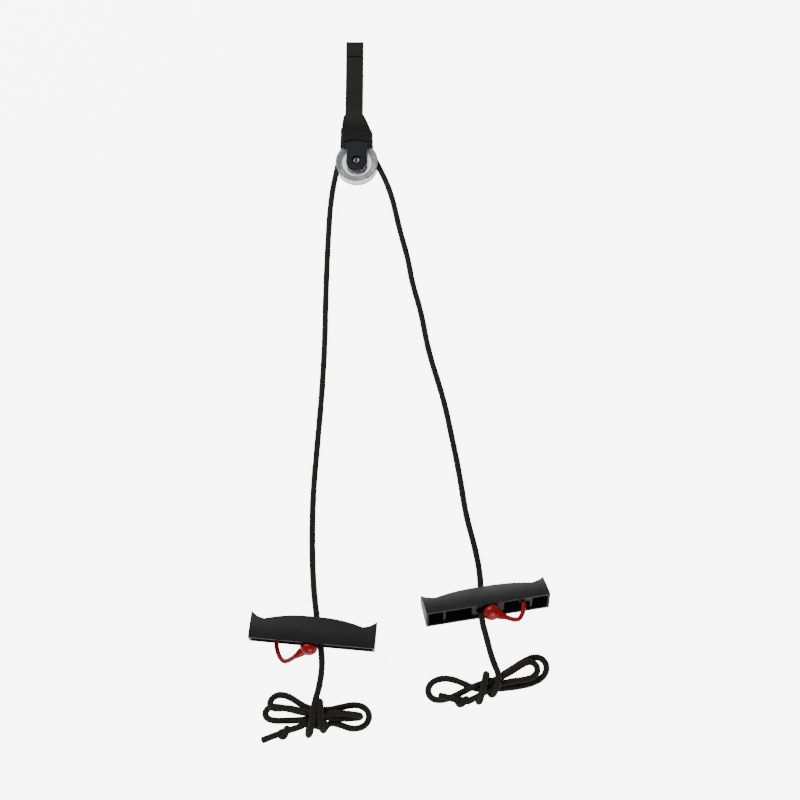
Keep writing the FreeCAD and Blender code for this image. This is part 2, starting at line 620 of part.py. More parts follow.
# ---------------------------------------------------------------- hanks and ends

def hank(node, wraps, lobes):
    """The outer shape of a tied hank: upright wraps round its middle and flat lobes each side."""
    solids = []
    for low, high in [wraps] + lobes:
        box = Part.makeBox(high[0] - low[0], high[1] - low[1], high[2] - low[2], Vector(*low))
        upright = [edge for edge in box.Edges
                   if edge.BoundBox.ZLength > max(edge.BoundBox.XLength, edge.BoundBox.YLength)]
        solids.append(box.makeFillet(min(high[1] - low[1], high[0] - low[0]) * 0.3, upright))
    shape = solids[0].multiFuse(solids[1:]).removeSplitter()
    thing = doc.addObject("Part::Feature", node + "_form")
    thing.Shape = shape
    return keep(node, thing)


def knot(node, middle):
    ball = doc.addObject("Part::Ellipsoid", node + "_form")
    bind(ball, Radius1="cord_diameter * 0.95", Radius2="knot_diameter / 2", Radius3="knot_diameter * 0.45")
    keep(node, ball)
    ball.Placement = Placement(Vector(*middle), Rotation())
    return ball


# ---------------------------------------------------------------- build, check and export

def build():
    cheek("front_cheek", 0.0)
    cheek("back_cheek", 180.0)
    axle_parts()
    sheave()
    strap_webbing()
    strap_hem()
    hem_stitching()
    strap_loop()
    strap_cuff()
    cord_over_sheave()
    moulding, cuts = handle_moulding()
    runs = {"left": (LEFT_RUN, -1, LEFT_TAIL), "right": (RIGHT_RUN, 1, RIGHT_TAIL)}
    for side, (run, hand, tail) in runs.items():
        handle_set(side, moulding, cuts)
        start = on_sheave(leave_sheave(run[0], hand))
        cord_tube(side + "_cord", [start] + run, value("cord_diameter"))
        cord_tube(side + "_cord_tail", tail, value("cord_diameter"))
    hank("left_hank", ((-88.5, -405.5, 0.0), (-67.5, -373.5, 17.0)),
         [((-129.5, -392.5, 0.0), (-84.0, -363.5, 9.0)), ((-72.0, -399.0, 0.0), (-22.5, -373.0, 9.0))])
    hank("right_hank", ((66.0, -376.5, 0.0), (99.0, -346.0, 15.0)),
         [((26.0, -373.0, 0.0), (70.0, -350.0, 9.0)), ((94.0, -362.5, 0.0), (143.5, -329.5, 9.0))])
    knot("left_stopper_knot", (-108.8, -401.4, 5.7))
    knot("right_stopper_knot", (60.3, -371.8, 5.7))
    doc.recompute()


def check():
    """Every object computed, and every sub-part one valid closed shape."""
    for thing in doc.Objects:
        if "Invalid" in thing.State or "Error" in thing.State:
            raise RuntimeError(thing.Name + " did not compute")
    for node, thing in NODES.items():
        if thing.Shape.isNull() or not thing.Shape.isValid() or not thing.Shape.Solids:
            raise RuntimeError(node + " has no valid solid")


def export():
    os.makedirs("parts", exist_ok=True)
    for node, thing in NODES.items():
        thing.Shape.exportStep("parts/%s.step" % node)


build()
check()
export()
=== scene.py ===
import json
import math

import bpy
import numpy as np
from bpy.props import FloatProperty, FloatVectorProperty, IntProperty, PointerProperty
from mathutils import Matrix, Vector


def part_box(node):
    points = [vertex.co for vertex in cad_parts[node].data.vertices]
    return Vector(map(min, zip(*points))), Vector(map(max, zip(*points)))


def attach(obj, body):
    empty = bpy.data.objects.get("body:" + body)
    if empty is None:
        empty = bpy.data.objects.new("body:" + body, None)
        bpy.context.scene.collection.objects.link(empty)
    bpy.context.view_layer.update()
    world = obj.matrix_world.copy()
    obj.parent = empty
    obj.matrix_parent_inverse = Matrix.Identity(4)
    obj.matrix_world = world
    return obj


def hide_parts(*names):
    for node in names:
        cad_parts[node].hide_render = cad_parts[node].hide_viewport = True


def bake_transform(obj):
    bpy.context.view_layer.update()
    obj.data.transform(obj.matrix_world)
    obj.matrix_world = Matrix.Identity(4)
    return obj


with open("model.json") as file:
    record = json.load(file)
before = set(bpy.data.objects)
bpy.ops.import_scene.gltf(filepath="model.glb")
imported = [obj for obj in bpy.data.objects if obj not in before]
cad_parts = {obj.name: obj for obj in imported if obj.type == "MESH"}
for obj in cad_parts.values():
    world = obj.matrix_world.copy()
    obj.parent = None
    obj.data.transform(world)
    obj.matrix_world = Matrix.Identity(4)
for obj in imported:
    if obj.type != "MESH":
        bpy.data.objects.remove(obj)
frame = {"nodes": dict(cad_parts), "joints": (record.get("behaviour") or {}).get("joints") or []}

bl_info = {
    "name": "Pulley reach set",
    "version": (1, 0, 0),
    "blender": (4, 5, 0),
    "location": "View3D > Sidebar > Reach Set",
    "description": "Cords, webbing and soft rubber plugs for a small pulley block with two T-handles",
    "category": "Object",
}

# Everything is in metres. +X is right, +Y runs towards the strap's free end and +Z is up.

# ---------------------------------------------------------------- what the frame gives

JOINTS = {joint["name"]: joint for joint in frame["joints"]}
AXLE = np.array(JOINTS["sheave_spin"]["pos_m"])
STRAP_LOW, STRAP_HIGH = (np.array(corner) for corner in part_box("strap_webbing"))
HEM_LOW, HEM_HIGH = (np.array(corner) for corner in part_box("strap_hem"))
CUFF_LOW, CUFF_HIGH = (np.array(corner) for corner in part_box("strap_cuff"))
PLY = float(HEM_HIGH[2] - HEM_LOW[2])
WEBBING_WIDTH = float(HEM_HIGH[0] - HEM_LOW[0])
STRAP_X = float(HEM_LOW[0] + HEM_HIGH[0]) / 2
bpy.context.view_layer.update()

# ---------------------------------------------------------------- the stage

FLOOR_REACH = 6.0                         # from the middle of the floor to its edges
LENS, SENSOR = 66.8, 36.0                 # millimetres
CAMERA_PLACE, CAMERA_AIM = (0.0015, -0.5106, 1.4345), (0.0015, -0.072, 0.0)
SEEN_GLOW, GLOSS_GLOW, THROUGH_GLOW = 7.5, 1.2, 4.0   # how bright the lit floor is to each kind of ray

# ---------------------------------------------------------------- the cords' routes

# The eight lists are given points, in millimetres. The hanks' heights in them are for a cord 5 mm
# thick; hank_points raises them for 6 mm, and run_points keeps the runs off the floor.
RUN_LOWEST = 3.1                                           # millimetres
PLACED_LOWEST, HANK_LOWEST, HANK_GROWTH = 2.5, 3.2, 1.2    # millimetres, and a ratio
LOOPS_MIDDLE, LOOPS_STILL, LOOPS_PULLED = -77.5, 12.0, 48.0  # where the left loops' pull is, from x
PULL_LEFT, PULL_RIGHT, PULL_BACK = 3.0, 2.6, 1.2           # millimetres, at most

PITCH_RADIUS = 0.0192   # from the sheave's axle to the middle of a cord lying in its groove
ARC_STEP = 15.0         # degrees between a route's points round the sheave

LEFT_RUN = [
    (-71, 147, 9), (-73.6, 96, 4.4), (-75, 41, 2.6), (-75.2, -14, 2.5), (-77.4, -68, 2.5),
    (-81.2, -121, 2.5), (-84.6, -172, 2.5), (-84.6, -222, 2.6), (-83, -252, 6.2), (-80.7, -278.7, 8.7),
    (-73.1, -327.5, 10.4), (-72.8, -342, 8.2), (-74.6, -356, 7),
]
LEFT_WRAPS = [
    (-77, -366.5, 9), (-78.6, -373.5, 12.6), (-79.8, -380.5, 14.6), (-80.6, -388, 14.6),
    (-81.4, -395.5, 13.4), (-82.6, -402, 10.4), (-84.8, -404.6, 5.8), (-85, -399.6, 2.6),
    (-82.6, -391.5, 2.5), (-79.4, -384, 2.5), (-76.8, -377.4, 2.6), (-75.2, -373, 5.4),
    (-73.8, -373, 10.8), (-73.2, -378.4, 14.4), (-73, -385, 14.8), (-72.8, -392, 14.2),
    (-72, -398.4, 11.2), (-70.2, -400.2, 6.6), (-68.4, -395, 2.9), (-63, -392, 2.6),
]
LEFT_LOOPS = [
    (-54, -393.6, 2.6), (-42.5, -397.2, 2.6), (-32, -395.6, 2.6), (-25.8, -390, 2.6),
    (-24.8, -382.4, 2.6), (-29.8, -376.4, 2.6), (-37.6, -374.4, 2.6), (-47, -375.6, 2.6),
    (-57.6, -378.4, 3.4), (-66, -380.4, 6), (-74.6, -380.8, 8.2), (-84, -379.4, 6.8), (-92, -375.6, 5.4),
    (-101, -369.6, 4.4), (-109, -366, 4.2), (-116.4, -365.2, 4.2), (-122.6, -368.2, 4.6),
    (-125, -373.6, 6), (-121.6, -378, 7.4), (-115, -378.6, 7.8), (-107, -378.2, 7.8), (-97, -380.2, 8),
    (-88, -382.8, 9), (-78, -384.6, 10), (-68, -384.4, 8.6), (-58, -383.4, 7.6), (-48, -383.4, 7.6),
    (-40.6, -384.2, 8.6), (-33.6, -384.8, 8.6), (-33.6, -386, 2.6), (-41, -387, 2.6), (-50, -387.8, 2.6),
    (-60, -387.8, 3.6), (-70, -387, 6), (-80, -385.2, 6), (-90, -382.8, 3.6), (-99, -380.4, 2.6),
    (-108, -378.2, 2.6), (-117, -376.2, 2.6), (-125, -376, 2.6), (-129.6, -381, 2.6),
    (-127.6, -387, 2.6), (-120.6, -389.2, 2.6), (-112, -389.4, 2.6), (-104, -389.6, 2.6),
    (-96, -389.6, 3.2), (-88, -389.4, 5.6), (-79, -389.6, 6.8), (-71.4, -390.4, 6.8), (-69, -394, 6.4),
    (-73, -396.6, 6), (-80, -394.8, 6), (-87, -392.8, 5), (-94, -396, 3.6),
]
LEFT_END = [
    (-122, -405.8, 2.7), (-129.3, -408.8, 2.5),
]
RIGHT_RUN = [
    (-8.2, 155.4, 9), (1.2, 111, 6), (9.6, 81.6, 3.4), (14.2, 53, 2.6), (23.6, 20, 2.5), (30, -20, 2.5),
    (45.6, -72, 2.5), (53.4, -112, 2.5), (60.6, -150, 2.5), (66.4, -192, 2.5), (75, -224, 2.5),
    (80.1, -253.8, 3.1), (78.3, -297.2, 28.7), (83.4, -314, 23), (88, -329.5, 12.6), (92, -339.5, 9.4),
]
RIGHT_WRAPS = [
    (94.4, -346.6, 12.6), (94.6, -353.6, 14.6), (92.6, -360.6, 13.2), (90, -366.4, 9),
    (87.6, -366.4, 3.6), (86, -359.6, 2.5), (84.6, -352.6, 2.6), (83.8, -347.2, 5.6),
    (82.8, -347.4, 11.6), (81.6, -353.6, 14.8), (80.2, -360.6, 14.8), (78.4, -367.4, 12.8),
    (76.8, -373.2, 8.6), (75.6, -372.8, 3.4), (77.4, -366, 2.5), (84.6, -358.6, 2.5), (94, -351, 2.6),
]
RIGHT_LOOPS = [
    (103, -344.8, 2.6), (111.6, -339.6, 2.6), (120, -334.2, 2.6), (128.6, -330.4, 2.6),
    (136.4, -331, 2.6), (141.4, -336.6, 2.6), (141.4, -344.2, 2.6), (136.4, -350.8, 2.6),
    (128, -355, 2.6), (118, -357.6, 2.6), (108, -359.2, 3.2), (98, -360.4, 5.8), (88, -361.4, 7.4),
    (79, -361.6, 7), (70.6, -359.8, 5), (62, -355.6, 3.2), (53, -351.8, 2.6), (43.6, -350.4, 2.6),
    (34.6, -352.4, 2.6), (28.8, -357.6, 2.6), (27.8, -364.6, 2.6), (32.8, -370.4, 2.6),
    (41, -371.2, 2.6), (50, -368.8, 2.6), (59, -364.4, 3.2), (68, -360.2, 5.6), (77, -356.8, 8.8),
    (86, -354.6, 9.6), (94.6, -351.8, 8.2), (103, -347.4, 7.6), (111.6, -342.2, 7.2), (119, -337.4, 6.6),
    (126, -334.8, 5.6), (131.6, -338, 5.4), (132.8, -344.4, 6.2), (128.6, -349.8, 7.2),
    (121, -352.4, 7.6), (111.6, -353.4, 7.6), (101.6, -355.2, 8), (92, -358.4, 9.6), (83, -363.4, 9.6),
    (75.6, -368.4, 7.6), (69.6, -370.6, 5.8),
]
RIGHT_END = [
    (46.8, -369, 7), (37.6, -367, 7),
]
# Where each stopper knot has its middle, and which way the cord runs on through it.
LEFT_KNOT = ((-0.1080, -0.4010, 0.0060), (-0.90, -0.33, 0.0))
RIGHT_KNOT = ((0.0603, -0.3718, 0.0062), (-0.98, 0.12, 0.0))
LEFT_LEAVES, RIGHT_LEAVES = 75.0, 60.0   # degrees round the sheave from its top
# From the plug's neck round to the ledge's socket, in the handle's own frame.
TETHER_ROUTE = [
    (-0.0196, -0.0164, -0.0012), (-0.0246, -0.0182, -0.0020), (-0.0288, -0.0146, -0.0029),
    (-0.0322, -0.0084, -0.0036), (-0.0342, -0.0012, -0.0040), (-0.0343, 0.0080, -0.0040),
]


# ---------------------------------------------------------------- sizes and colours a user would change

class CordSizes(bpy.types.PropertyGroup):
    """The braided cord."""
    diameter: FloatProperty(name="Diameter", description="Across the braid", default=0.006, unit="LENGTH")
    left_length: FloatProperty(name="Left length", description="From the sheave's top to the left end",
                               default=1.21, unit="LENGTH")
    right_length: FloatProperty(name="Right length", description="From the sheave's top to the right end",
                                default=1.15, unit="LENGTH")
    strands: IntProperty(name="Strands", description="Strands laid each way round the braid", default=8)
    pick: FloatProperty(name="Pick", description="Length of one crossing of the braid", default=0.0021,
                        unit="LENGTH")
    relief: FloatProperty(name="Relief", description="How far a strand stands proud", default=0.00036,
                          unit="LENGTH")
    ring_gap: FloatProperty(name="Ring gap", description="Distance between the surface's rings",
                            default=0.00048, unit="LENGTH")


class StrapSizes(bpy.types.PropertyGroup):
    """The webbing strap and its sleeve."""
    rib: FloatProperty(name="Rib", description="Width of one warp rib of the webbing", default=0.00119,
                       unit="LENGTH")
    pick: FloatProperty(name="Pick", description="Length of one weft pick of the webbing", default=0.0017,
                        unit="LENGTH")
    relief: FloatProperty(name="Relief", description="Height of the weave", default=0.00009, unit="LENGTH")
    pleat: FloatProperty(name="Pleat", description="Width of a gathered pleat at the flare",
                         default=0.0021, unit="LENGTH")
    stitch: FloatProperty(name="Stitch", description="Length of one stitch", default=0.0023, unit="LENGTH")
    thread: FloatProperty(name="Thread", description="Across the sewing thread", default=0.00055,
                          unit="LENGTH")


class SetColours(bpy.types.PropertyGroup):
    """The finishes' main colours."""
    cord: FloatVectorProperty(name="Cord", description="Braided cord", subtype="COLOR",
                              default=(0.036, 0.035, 0.029))
    webbing: FloatVectorProperty(name="Webbing", description="Strap webbing", subtype="COLOR",
                                 default=(0.044, 0.044, 0.040))
    sleeve: FloatVectorProperty(name="Sleeve", description="Sleeve at the strap's foot", subtype="COLOR",
                                default=(0.021, 0.021, 0.019))
    block: FloatVectorProperty(name="Block", description="Moulded cheeks", subtype="COLOR",
                               default=(0.022, 0.026, 0.028))
    handle: FloatVectorProperty(name="Handle", description="Moulded handles", subtype="COLOR",
                                default=(0.034, 0.036, 0.034))
    sheave: FloatVectorProperty(name="Sheave", description="Nylon sheave", subtype="COLOR",
                                default=(0.80, 0.83, 0.83))
    rubber: FloatVectorProperty(name="Rubber", description="Wedge plugs and tethers", subtype="COLOR",
                                default=(0.80, 0.022, 0.026))
    steel: FloatVectorProperty(name="Steel", description="Rivet and washer", subtype="COLOR",
                               default=(0.46, 0.45, 0.42))


# ---------------------------------------------------------------- mesh helpers

def new_piece(name, mesh):
    """An object for a mesh whose place is already in its vertices."""
    piece = bpy.data.objects.new(name, mesh)
    bpy.context.scene.collection.objects.link(piece)
    return piece


def grid_mesh(name, points, uv=None, close_ends=True):
    """A closed tube of a mesh from rings of points.

    points has one row for each ring and one column for each place round it. Neighbouring rings are joined by
    four-sided faces, the last column to the first, and each end ring is closed by one face. The UV map holds
    uv's along and around values, and the around value runs on past the seam instead of jumping back.
    """
    rings, across = points.shape[:2]
    ring, column = np.meshgrid(np.arange(rings - 1), np.arange(across), indexing="ij")
    after = (column + 1) % across
    faces = np.stack([ring * across + column, ring * across + after,
                      (ring + 1) * across + after, (ring + 1) * across + column], axis=-1).reshape(-1, 4)
    faces = faces.tolist()
    if close_ends:
        faces.append(list(range(across))[::-1])
        faces.append([(rings - 1) * across + k for k in range(across)])
    mesh = bpy.data.meshes.new(name)
    mesh.from_pydata(points.reshape(-1, 3).tolist(), [], faces)
    if uv is not None:
        along, around = uv
        low = np.stack([along[ring], around[column]], axis=-1)
        right = np.stack([along[ring], around[column + 1]], axis=-1)
        high = np.stack([along[ring + 1], around[column + 1]], axis=-1)
        left = np.stack([along[ring + 1], around[column]], axis=-1)
        corners = np.stack([low, right, high, left], axis=2).reshape(-1)
        layer = mesh.uv_layers.new(name="lay")
        values = np.zeros(len(mesh.loops) * 2, dtype=np.float32)
        values[:len(corners)] = corners
        layer.data.foreach_set("uv", values)
    mesh.shade_smooth()
    mesh.validate()
    return facing_out(mesh)


def facing_out(mesh):
    """The closed mesh, turned over if the volume that its faces sweep from the origin is negative."""
    count = len(mesh.polygons)
    areas, normals, middles = np.zeros(count), np.zeros(count * 3), np.zeros(count * 3)
    mesh.polygons.foreach_get("area", areas)
    mesh.polygons.foreach_get("normal", normals)
    mesh.polygons.foreach_get("center", middles)
    if (areas * (normals.reshape(-1, 3) * middles.reshape(-1, 3)).sum(axis=1)).sum() < 0:
        mesh.flip_normals()
    return mesh


def smooth_route(points):
    """Points along the smooth line that a cord's route points steer, ends included."""
    curve = bpy.data.curves.new("route", "CURVE")
    curve.dimensions = "3D"
    curve.resolution_u = 16
    spline = curve.splines.new("NURBS")
    spline.points.add(len(points) - 1)
    spline.points.foreach_set("co", np.append(points, np.ones((len(points), 1)), axis=1).ravel())
    spline.order_u = 3
    spline.use_endpoint_u = True
    carrier = new_piece("route", curve)
    mesh = bpy.data.meshes.new_from_object(carrier)
    line = np.zeros(len(mesh.vertices) * 3)
    mesh.vertices.foreach_get("co", line)
    bpy.data.objects.remove(carrier)
    bpy.data.curves.remove(curve)
    bpy.data.meshes.remove(mesh)
    return line.reshape(-1, 3)


def evenly(line, gap):
    """The same line, read at equal distances along it, and those distances."""
    steps = np.linalg.norm(np.diff(line, axis=0), axis=1)
    reach = np.concatenate([[0.0], np.cumsum(steps)])
    count = max(int(round(reach[-1] / gap)), 2)
    along = np.linspace(0.0, reach[-1], count + 1)
    return np.stack([np.interp(along, reach, line[:, axis]) for axis in range(3)], axis=1), along


def unit(vectors):
    return vectors / np.maximum(np.linalg.norm(vectors, axis=-1, keepdims=True), 1e-12)


def carried_frames(line):
    """Two crosswise directions at each point, carried along the line without twisting.

    Each step takes the last direction, removes its part along the new tangent, and scales it back to
    length 1.
    """
    tangents = unit(np.gradient(line, axis=0))
    first = np.cross(tangents[0], (0.31, 0.17, 0.93))
    sides = np.empty_like(line)
    side = first / np.linalg.norm(first)
    for index, tangent in enumerate(tangents):
        side = side - tangent * side.dot(tangent)
        side = side / np.linalg.norm(side)
        sides[index] = side
    return sides, np.cross(tangents, sides)


def ring_ways(angle, side, up):
    """Outward directions round each point of a line: cos(angle) of side plus sin(angle) of up."""
    return np.cos(angle)[None, :, None] * side[:, None, :] + np.sin(angle)[None, :, None] * up[:, None, :]


def rounded_ends(along, reach, least):
    """1 along the line, falling at both ends as a quarter circle over reach, to the root of least."""
    end = np.minimum(along, along[-1] - along) / reach
    return np.sqrt(np.clip(end * (2 - end), least, 1)) * (end < 1) + (end >= 1)


def smoothstep(value):
    value = np.clip(value, 0.0, 1.0)
    return value * value * (3 - 2 * value)


# ---------------------------------------------------------------- the cord

def braid_tube(name, line, sizes, segments=32):
    """A braided cord along a line.

    Strands run both ways round the cord. With s the distance along and a the turn round, two phases are
    strands * a + s / pick and strands * a - s / pick. The surface stands proud by the root of the size of
    the product of their sines, so each crossing is one small lozenge. The section is a little uneven along
    the cord, and both ends draw in over three tenths of a diameter where the cut is sealed.
    """
    centre, along = evenly(line, sizes.ring_gap)
    side, up = carried_frames(centre)
    turn = np.linspace(0.0, 1.0, segments + 1)
    angle = 2 * math.pi * turn[:-1]
    across = sizes.strands * turn[None, :-1]
    lay = along[:, None] / sizes.pick
    lozenge = np.sqrt(np.abs(np.sin(math.pi * (across + lay)) * np.sin(math.pi * (across - lay))))
    uneven = 1 + 0.016 * np.sin(along * 210) + 0.014 * np.sin(along * 523 + 1.3)
    sealed = rounded_ends(along, sizes.diameter * 0.3, 0.02)
    radius = (sizes.diameter / 2 - sizes.relief * 0.5 + sizes.relief * lozenge) * (uneven * sealed)[:, None]
    points = centre[:, None, :] + radius[:, :, None] * ring_ways(angle, side, up)
    return grid_mesh(name, points, uv=(along, turn)), centre


def over_sheave(side, degrees):
    """Route points round the sheave, from its top down to where the cord leaves it."""
    turn = np.radians(90.0 + side * np.arange(0.0, degrees + 0.1, ARC_STEP))
    reach = PITCH_RADIUS / math.cos(math.radians(ARC_STEP / 2))
    points = np.stack([reach * np.cos(turn), reach * np.sin(turn), np.zeros_like(turn)], axis=1) + AXLE
    points[0] = AXLE + (0.0, PITCH_RADIUS, 0.0)
    return points


def knot_points(middle, way):
    """Route points of one overhand knot.

    The cord runs forward past the knot's middle, turns out to its full reach and winds back one and a half
    times round itself, then runs forward again through its own turns. The distance along is a straight rise
    plus one sine wave, the reach is a squared sine, and the turn grows evenly.
    """
    t = np.linspace(0.0, 1.0, 21)
    way = np.array(way) / np.linalg.norm(way)
    across = np.array((-way[1], way[0], 0.0))
    along = 0.0125 * (t - 0.5) + 0.0068 * np.sin(2 * math.pi * t)
    reach = 0.0040 * np.sin(math.pi * t) ** 2
    angle = 3 * math.pi * (t - 0.5) + 0.6
    lift = np.array((0.0, 0.0, 0.66))
    return (np.array(middle) + along[:, None] * way + (reach * np.cos(angle))[:, None] * across
            + (reach * np.sin(angle))[:, None] * lift)


def run_points(points):
    """A run's points in metres, none lower than RUN_LOWEST."""
    points = np.array(points, dtype=float)
    points[:, 2] = np.maximum(points[:, 2], RUN_LOWEST)
    return points / 1000


def hank_points(points):
    """A hank's points in metres, with their heights raised for the cord's thickness."""
    points = np.array(points, dtype=float)
    points[:, 2] = np.round(HANK_LOWEST + (points[:, 2] - PLACED_LOWEST) * HANK_GROWTH, 1)
    return points / 1000


def drawn_in(points):
    """The left loops, drawn in towards their wraps and a little along -y, the further out the more."""
    points = np.array(points, dtype=float)
    away = points[:, 0] - LOOPS_MIDDLE
    pull = np.clip((np.abs(away) - LOOPS_STILL) / (LOOPS_PULLED - LOOPS_STILL), 0, 1)
    points[:, 0] -= np.where(away > 0, PULL_RIGHT, -PULL_LEFT) * pull
    points[:, 1] -= PULL_BACK * pull
    return np.round(points, 1)


def cord_route(side):
    """One side of the cord: over the sheave, down the run, round the hank's wraps and loops, and its end."""
    if side == "left":
        arc, run, end, knot = over_sheave(1, LEFT_LEAVES), LEFT_RUN, LEFT_END, LEFT_KNOT
        hank = np.concatenate([LEFT_WRAPS, drawn_in(LEFT_LOOPS)])
    else:
        arc, run, end, knot = over_sheave(-1, RIGHT_LEAVES), RIGHT_RUN, RIGHT_END, RIGHT_KNOT
        hank = np.concatenate([RIGHT_WRAPS, RIGHT_LOOPS])
    parts = (arc, run_points(run), hank_points(hank), knot_points(*knot), hank_points(end))
    return smooth_route(np.concatenate(parts))


# ---------------------------------------------------------------- flat webbing

def ribbon(name, path, half_left, half_right, thickness, sizes, pleats=None):
    """A band of webbing whose path lies in an upright plane.

    path gives y and z. Round the band, x runs from the left edge to the right one over the top face and back
    under it, and the half thickness falls to nothing at the edges as the 26th root does, so the edges are
    round and the faces flat. The top and bottom stand proud along their own normal by a weave of warp ribs,
    which dip where the weft passes over them.
    """
    flat, along = evenly(np.stack([np.zeros(len(path)), path[:, 0], path[:, 1]], axis=1), 0.0005)
    slope = unit(np.gradient(flat, axis=0))
    normal = np.stack([np.zeros(len(flat)), -slope[:, 2], slope[:, 1]], axis=1)
    count = 68
    across = np.concatenate([np.linspace(-1, 1, count), np.linspace(1, -1, count)[1:-1]])
    face = np.concatenate([np.ones(count), -np.ones(count - 2)])
    half = thickness / 2 * (1 - np.abs(across) ** 26) ** 0.5 * face
    left, right = half_left(along), half_right(along)
    x = np.where(across[None, :] < 0, across[None, :] * left[:, None], across[None, :] * right[:, None])
    rib = np.abs(np.sin(math.pi * x / sizes.rib))
    row = np.floor(x / sizes.rib)
    weft = 0.5 + 0.5 * np.cos(2 * math.pi * along[:, None] / sizes.pick + math.pi * row)
    selvedge = smoothstep((np.abs(across) - 0.80) / 0.04) * smoothstep((0.97 - np.abs(across)) / 0.05)
    proud = sizes.relief * (rib * (0.55 + 0.45 * weft)) + 0.00012 * selvedge[None, :]
    proud = proud * (np.abs(across) < 0.985)
    if pleats is not None:
        proud = proud + pleats(along[:, None], x)
    sealed = rounded_ends(along, thickness / 2, 0.01)
    offset = half[None, :] * sealed[:, None] + proud * face[None, :] * sealed[:, None]
    points = flat[:, None, :] + offset[:, :, None] * normal[:, None, :]
    points[:, :, 0] += STRAP_X + x
    around = np.append(across * WEBBING_WIDTH / 2, -WEBBING_WIDTH / 2)
    around[count:] = WEBBING_WIDTH - around[count:]
    return grid_mesh(name, points[:, ::-1], uv=(along, around[::-1]))


def strap_side(offset, top_y):
    """Where one ply runs, in y and z: level in the sleeve, easing down, then flat to top_y."""
    y = np.linspace(STRAP_LOW[1], top_y, 220)
    drop = smoothstep((y - STRAP_LOW[1] - 0.002) / 0.028)
    level = AXLE[2] + offset + (PLY + offset - AXLE[2] - offset) * drop
    return np.stack([y, level], axis=1)


def strap_edge(flare, foot, bulge):
    """A half width along the strap: the webbing's own, opening to the flare over its foot."""
    def width(along):
        opening = np.clip((foot - along) / foot, 0.0, 1.0)
        return WEBBING_WIDTH / 2 + (flare - WEBBING_WIDTH / 2) * opening ** bulge
    return width


def flare_pleats(sizes):
    """Upright pleats gathered where the strap opens out, fading up the strap."""
    def height(along, x):
        fade = smoothstep((0.021 - along) / 0.008)
        return 0.00034 * fade * (0.5 + 0.5 * np.cos(2 * math.pi * x / sizes.pleat))
    return height


def hem_return():
    """Where the back ply runs on: over the strap's top and down its front to the hem's free edge."""
    back = strap_side(-PLY / 2, STRAP_HIGH[1] - PLY * 1.5)
    turn = np.linspace(-math.pi / 2, math.pi / 2, 24)[1:]
    middle = np.array((STRAP_HIGH[1] - PLY * 1.5, PLY * 1.5))
    over = middle + PLY * np.stack([np.cos(turn), np.sin(turn)], axis=1)
    down = np.stack([np.linspace(middle[0], HEM_LOW[1], 40)[1:], np.full(39, PLY * 2.5)], axis=1)
    return np.concatenate([back, over, down])


def stitch_rows(sizes):
    """Thread stitches round the hem, each a short arched bead.

    A bead is a half ellipse swept across the thread: its height is the root of one less the square of the
    distance along, and its section is round.
    """
    inset, length = 0.0022, sizes.stitch
    left, right = HEM_LOW[0] + inset, HEM_HIGH[0] - inset
    low, high = HEM_LOW[1] + inset * 0.8, HEM_HIGH[1] - inset * 1.6
    places = []
    for level in (low, high):
        count = int((right - left) // (1.5 * length))
        middles = left + (np.arange(count) + 0.5) * (right - left) / count
        places += [(middle, level, 0.0) for middle in middles]
    for across in (left, right):
        count = int((high - low) // (1.5 * length))
        middles = low + (np.arange(count) + 0.5) * (high - low) / count
        places += [(across, middle, math.pi / 2) for middle in middles]
    places = np.array(places)
    t = np.linspace(-1, 1, 9)
    angle = np.linspace(0, 2 * math.pi, 9)[:-1]
    thick = sizes.thread / 2 * np.sqrt(np.maximum(1 - t ** 6, 0.02))
    bead = np.stack(np.broadcast_arrays(
        (t * length / 2)[:, None], thick[:, None] * np.cos(angle)[None, :],
        thick[:, None] * np.sin(angle)[None, :] + (0.00012 * (1 - t ** 2))[:, None]), axis=-1)
    turned = np.stack([np.cos(places[:, 2]), np.sin(places[:, 2])], axis=1)
    x = places[:, 0, None, None] + bead[None, :, :, 0] * turned[:, 0, None, None] \
        - bead[None, :, :, 1] * turned[:, 1, None, None]
    y = places[:, 1, None, None] + bead[None, :, :, 0] * turned[:, 1, None, None] \
        + bead[None, :, :, 1] * turned[:, 0, None, None]
    z = np.broadcast_to(bead[None, :, :, 2] + PLY * 3 + 0.00012, x.shape)
    return np.stack([x, y, z], axis=-1)


def joined(name, grids):
    """One mesh of several closed tubes of points."""
    meshes = [grid_mesh(name + "_part", grid) for grid in grids]
    pieces = [new_piece(name, mesh) for mesh in meshes]
    with bpy.context.temp_override(active_object=pieces[0], selected_editable_objects=pieces,
                                   selected_objects=pieces, object=pieces[0]):
        bpy.ops.object.join()
    pieces[0].name = name
    return pieces[0]


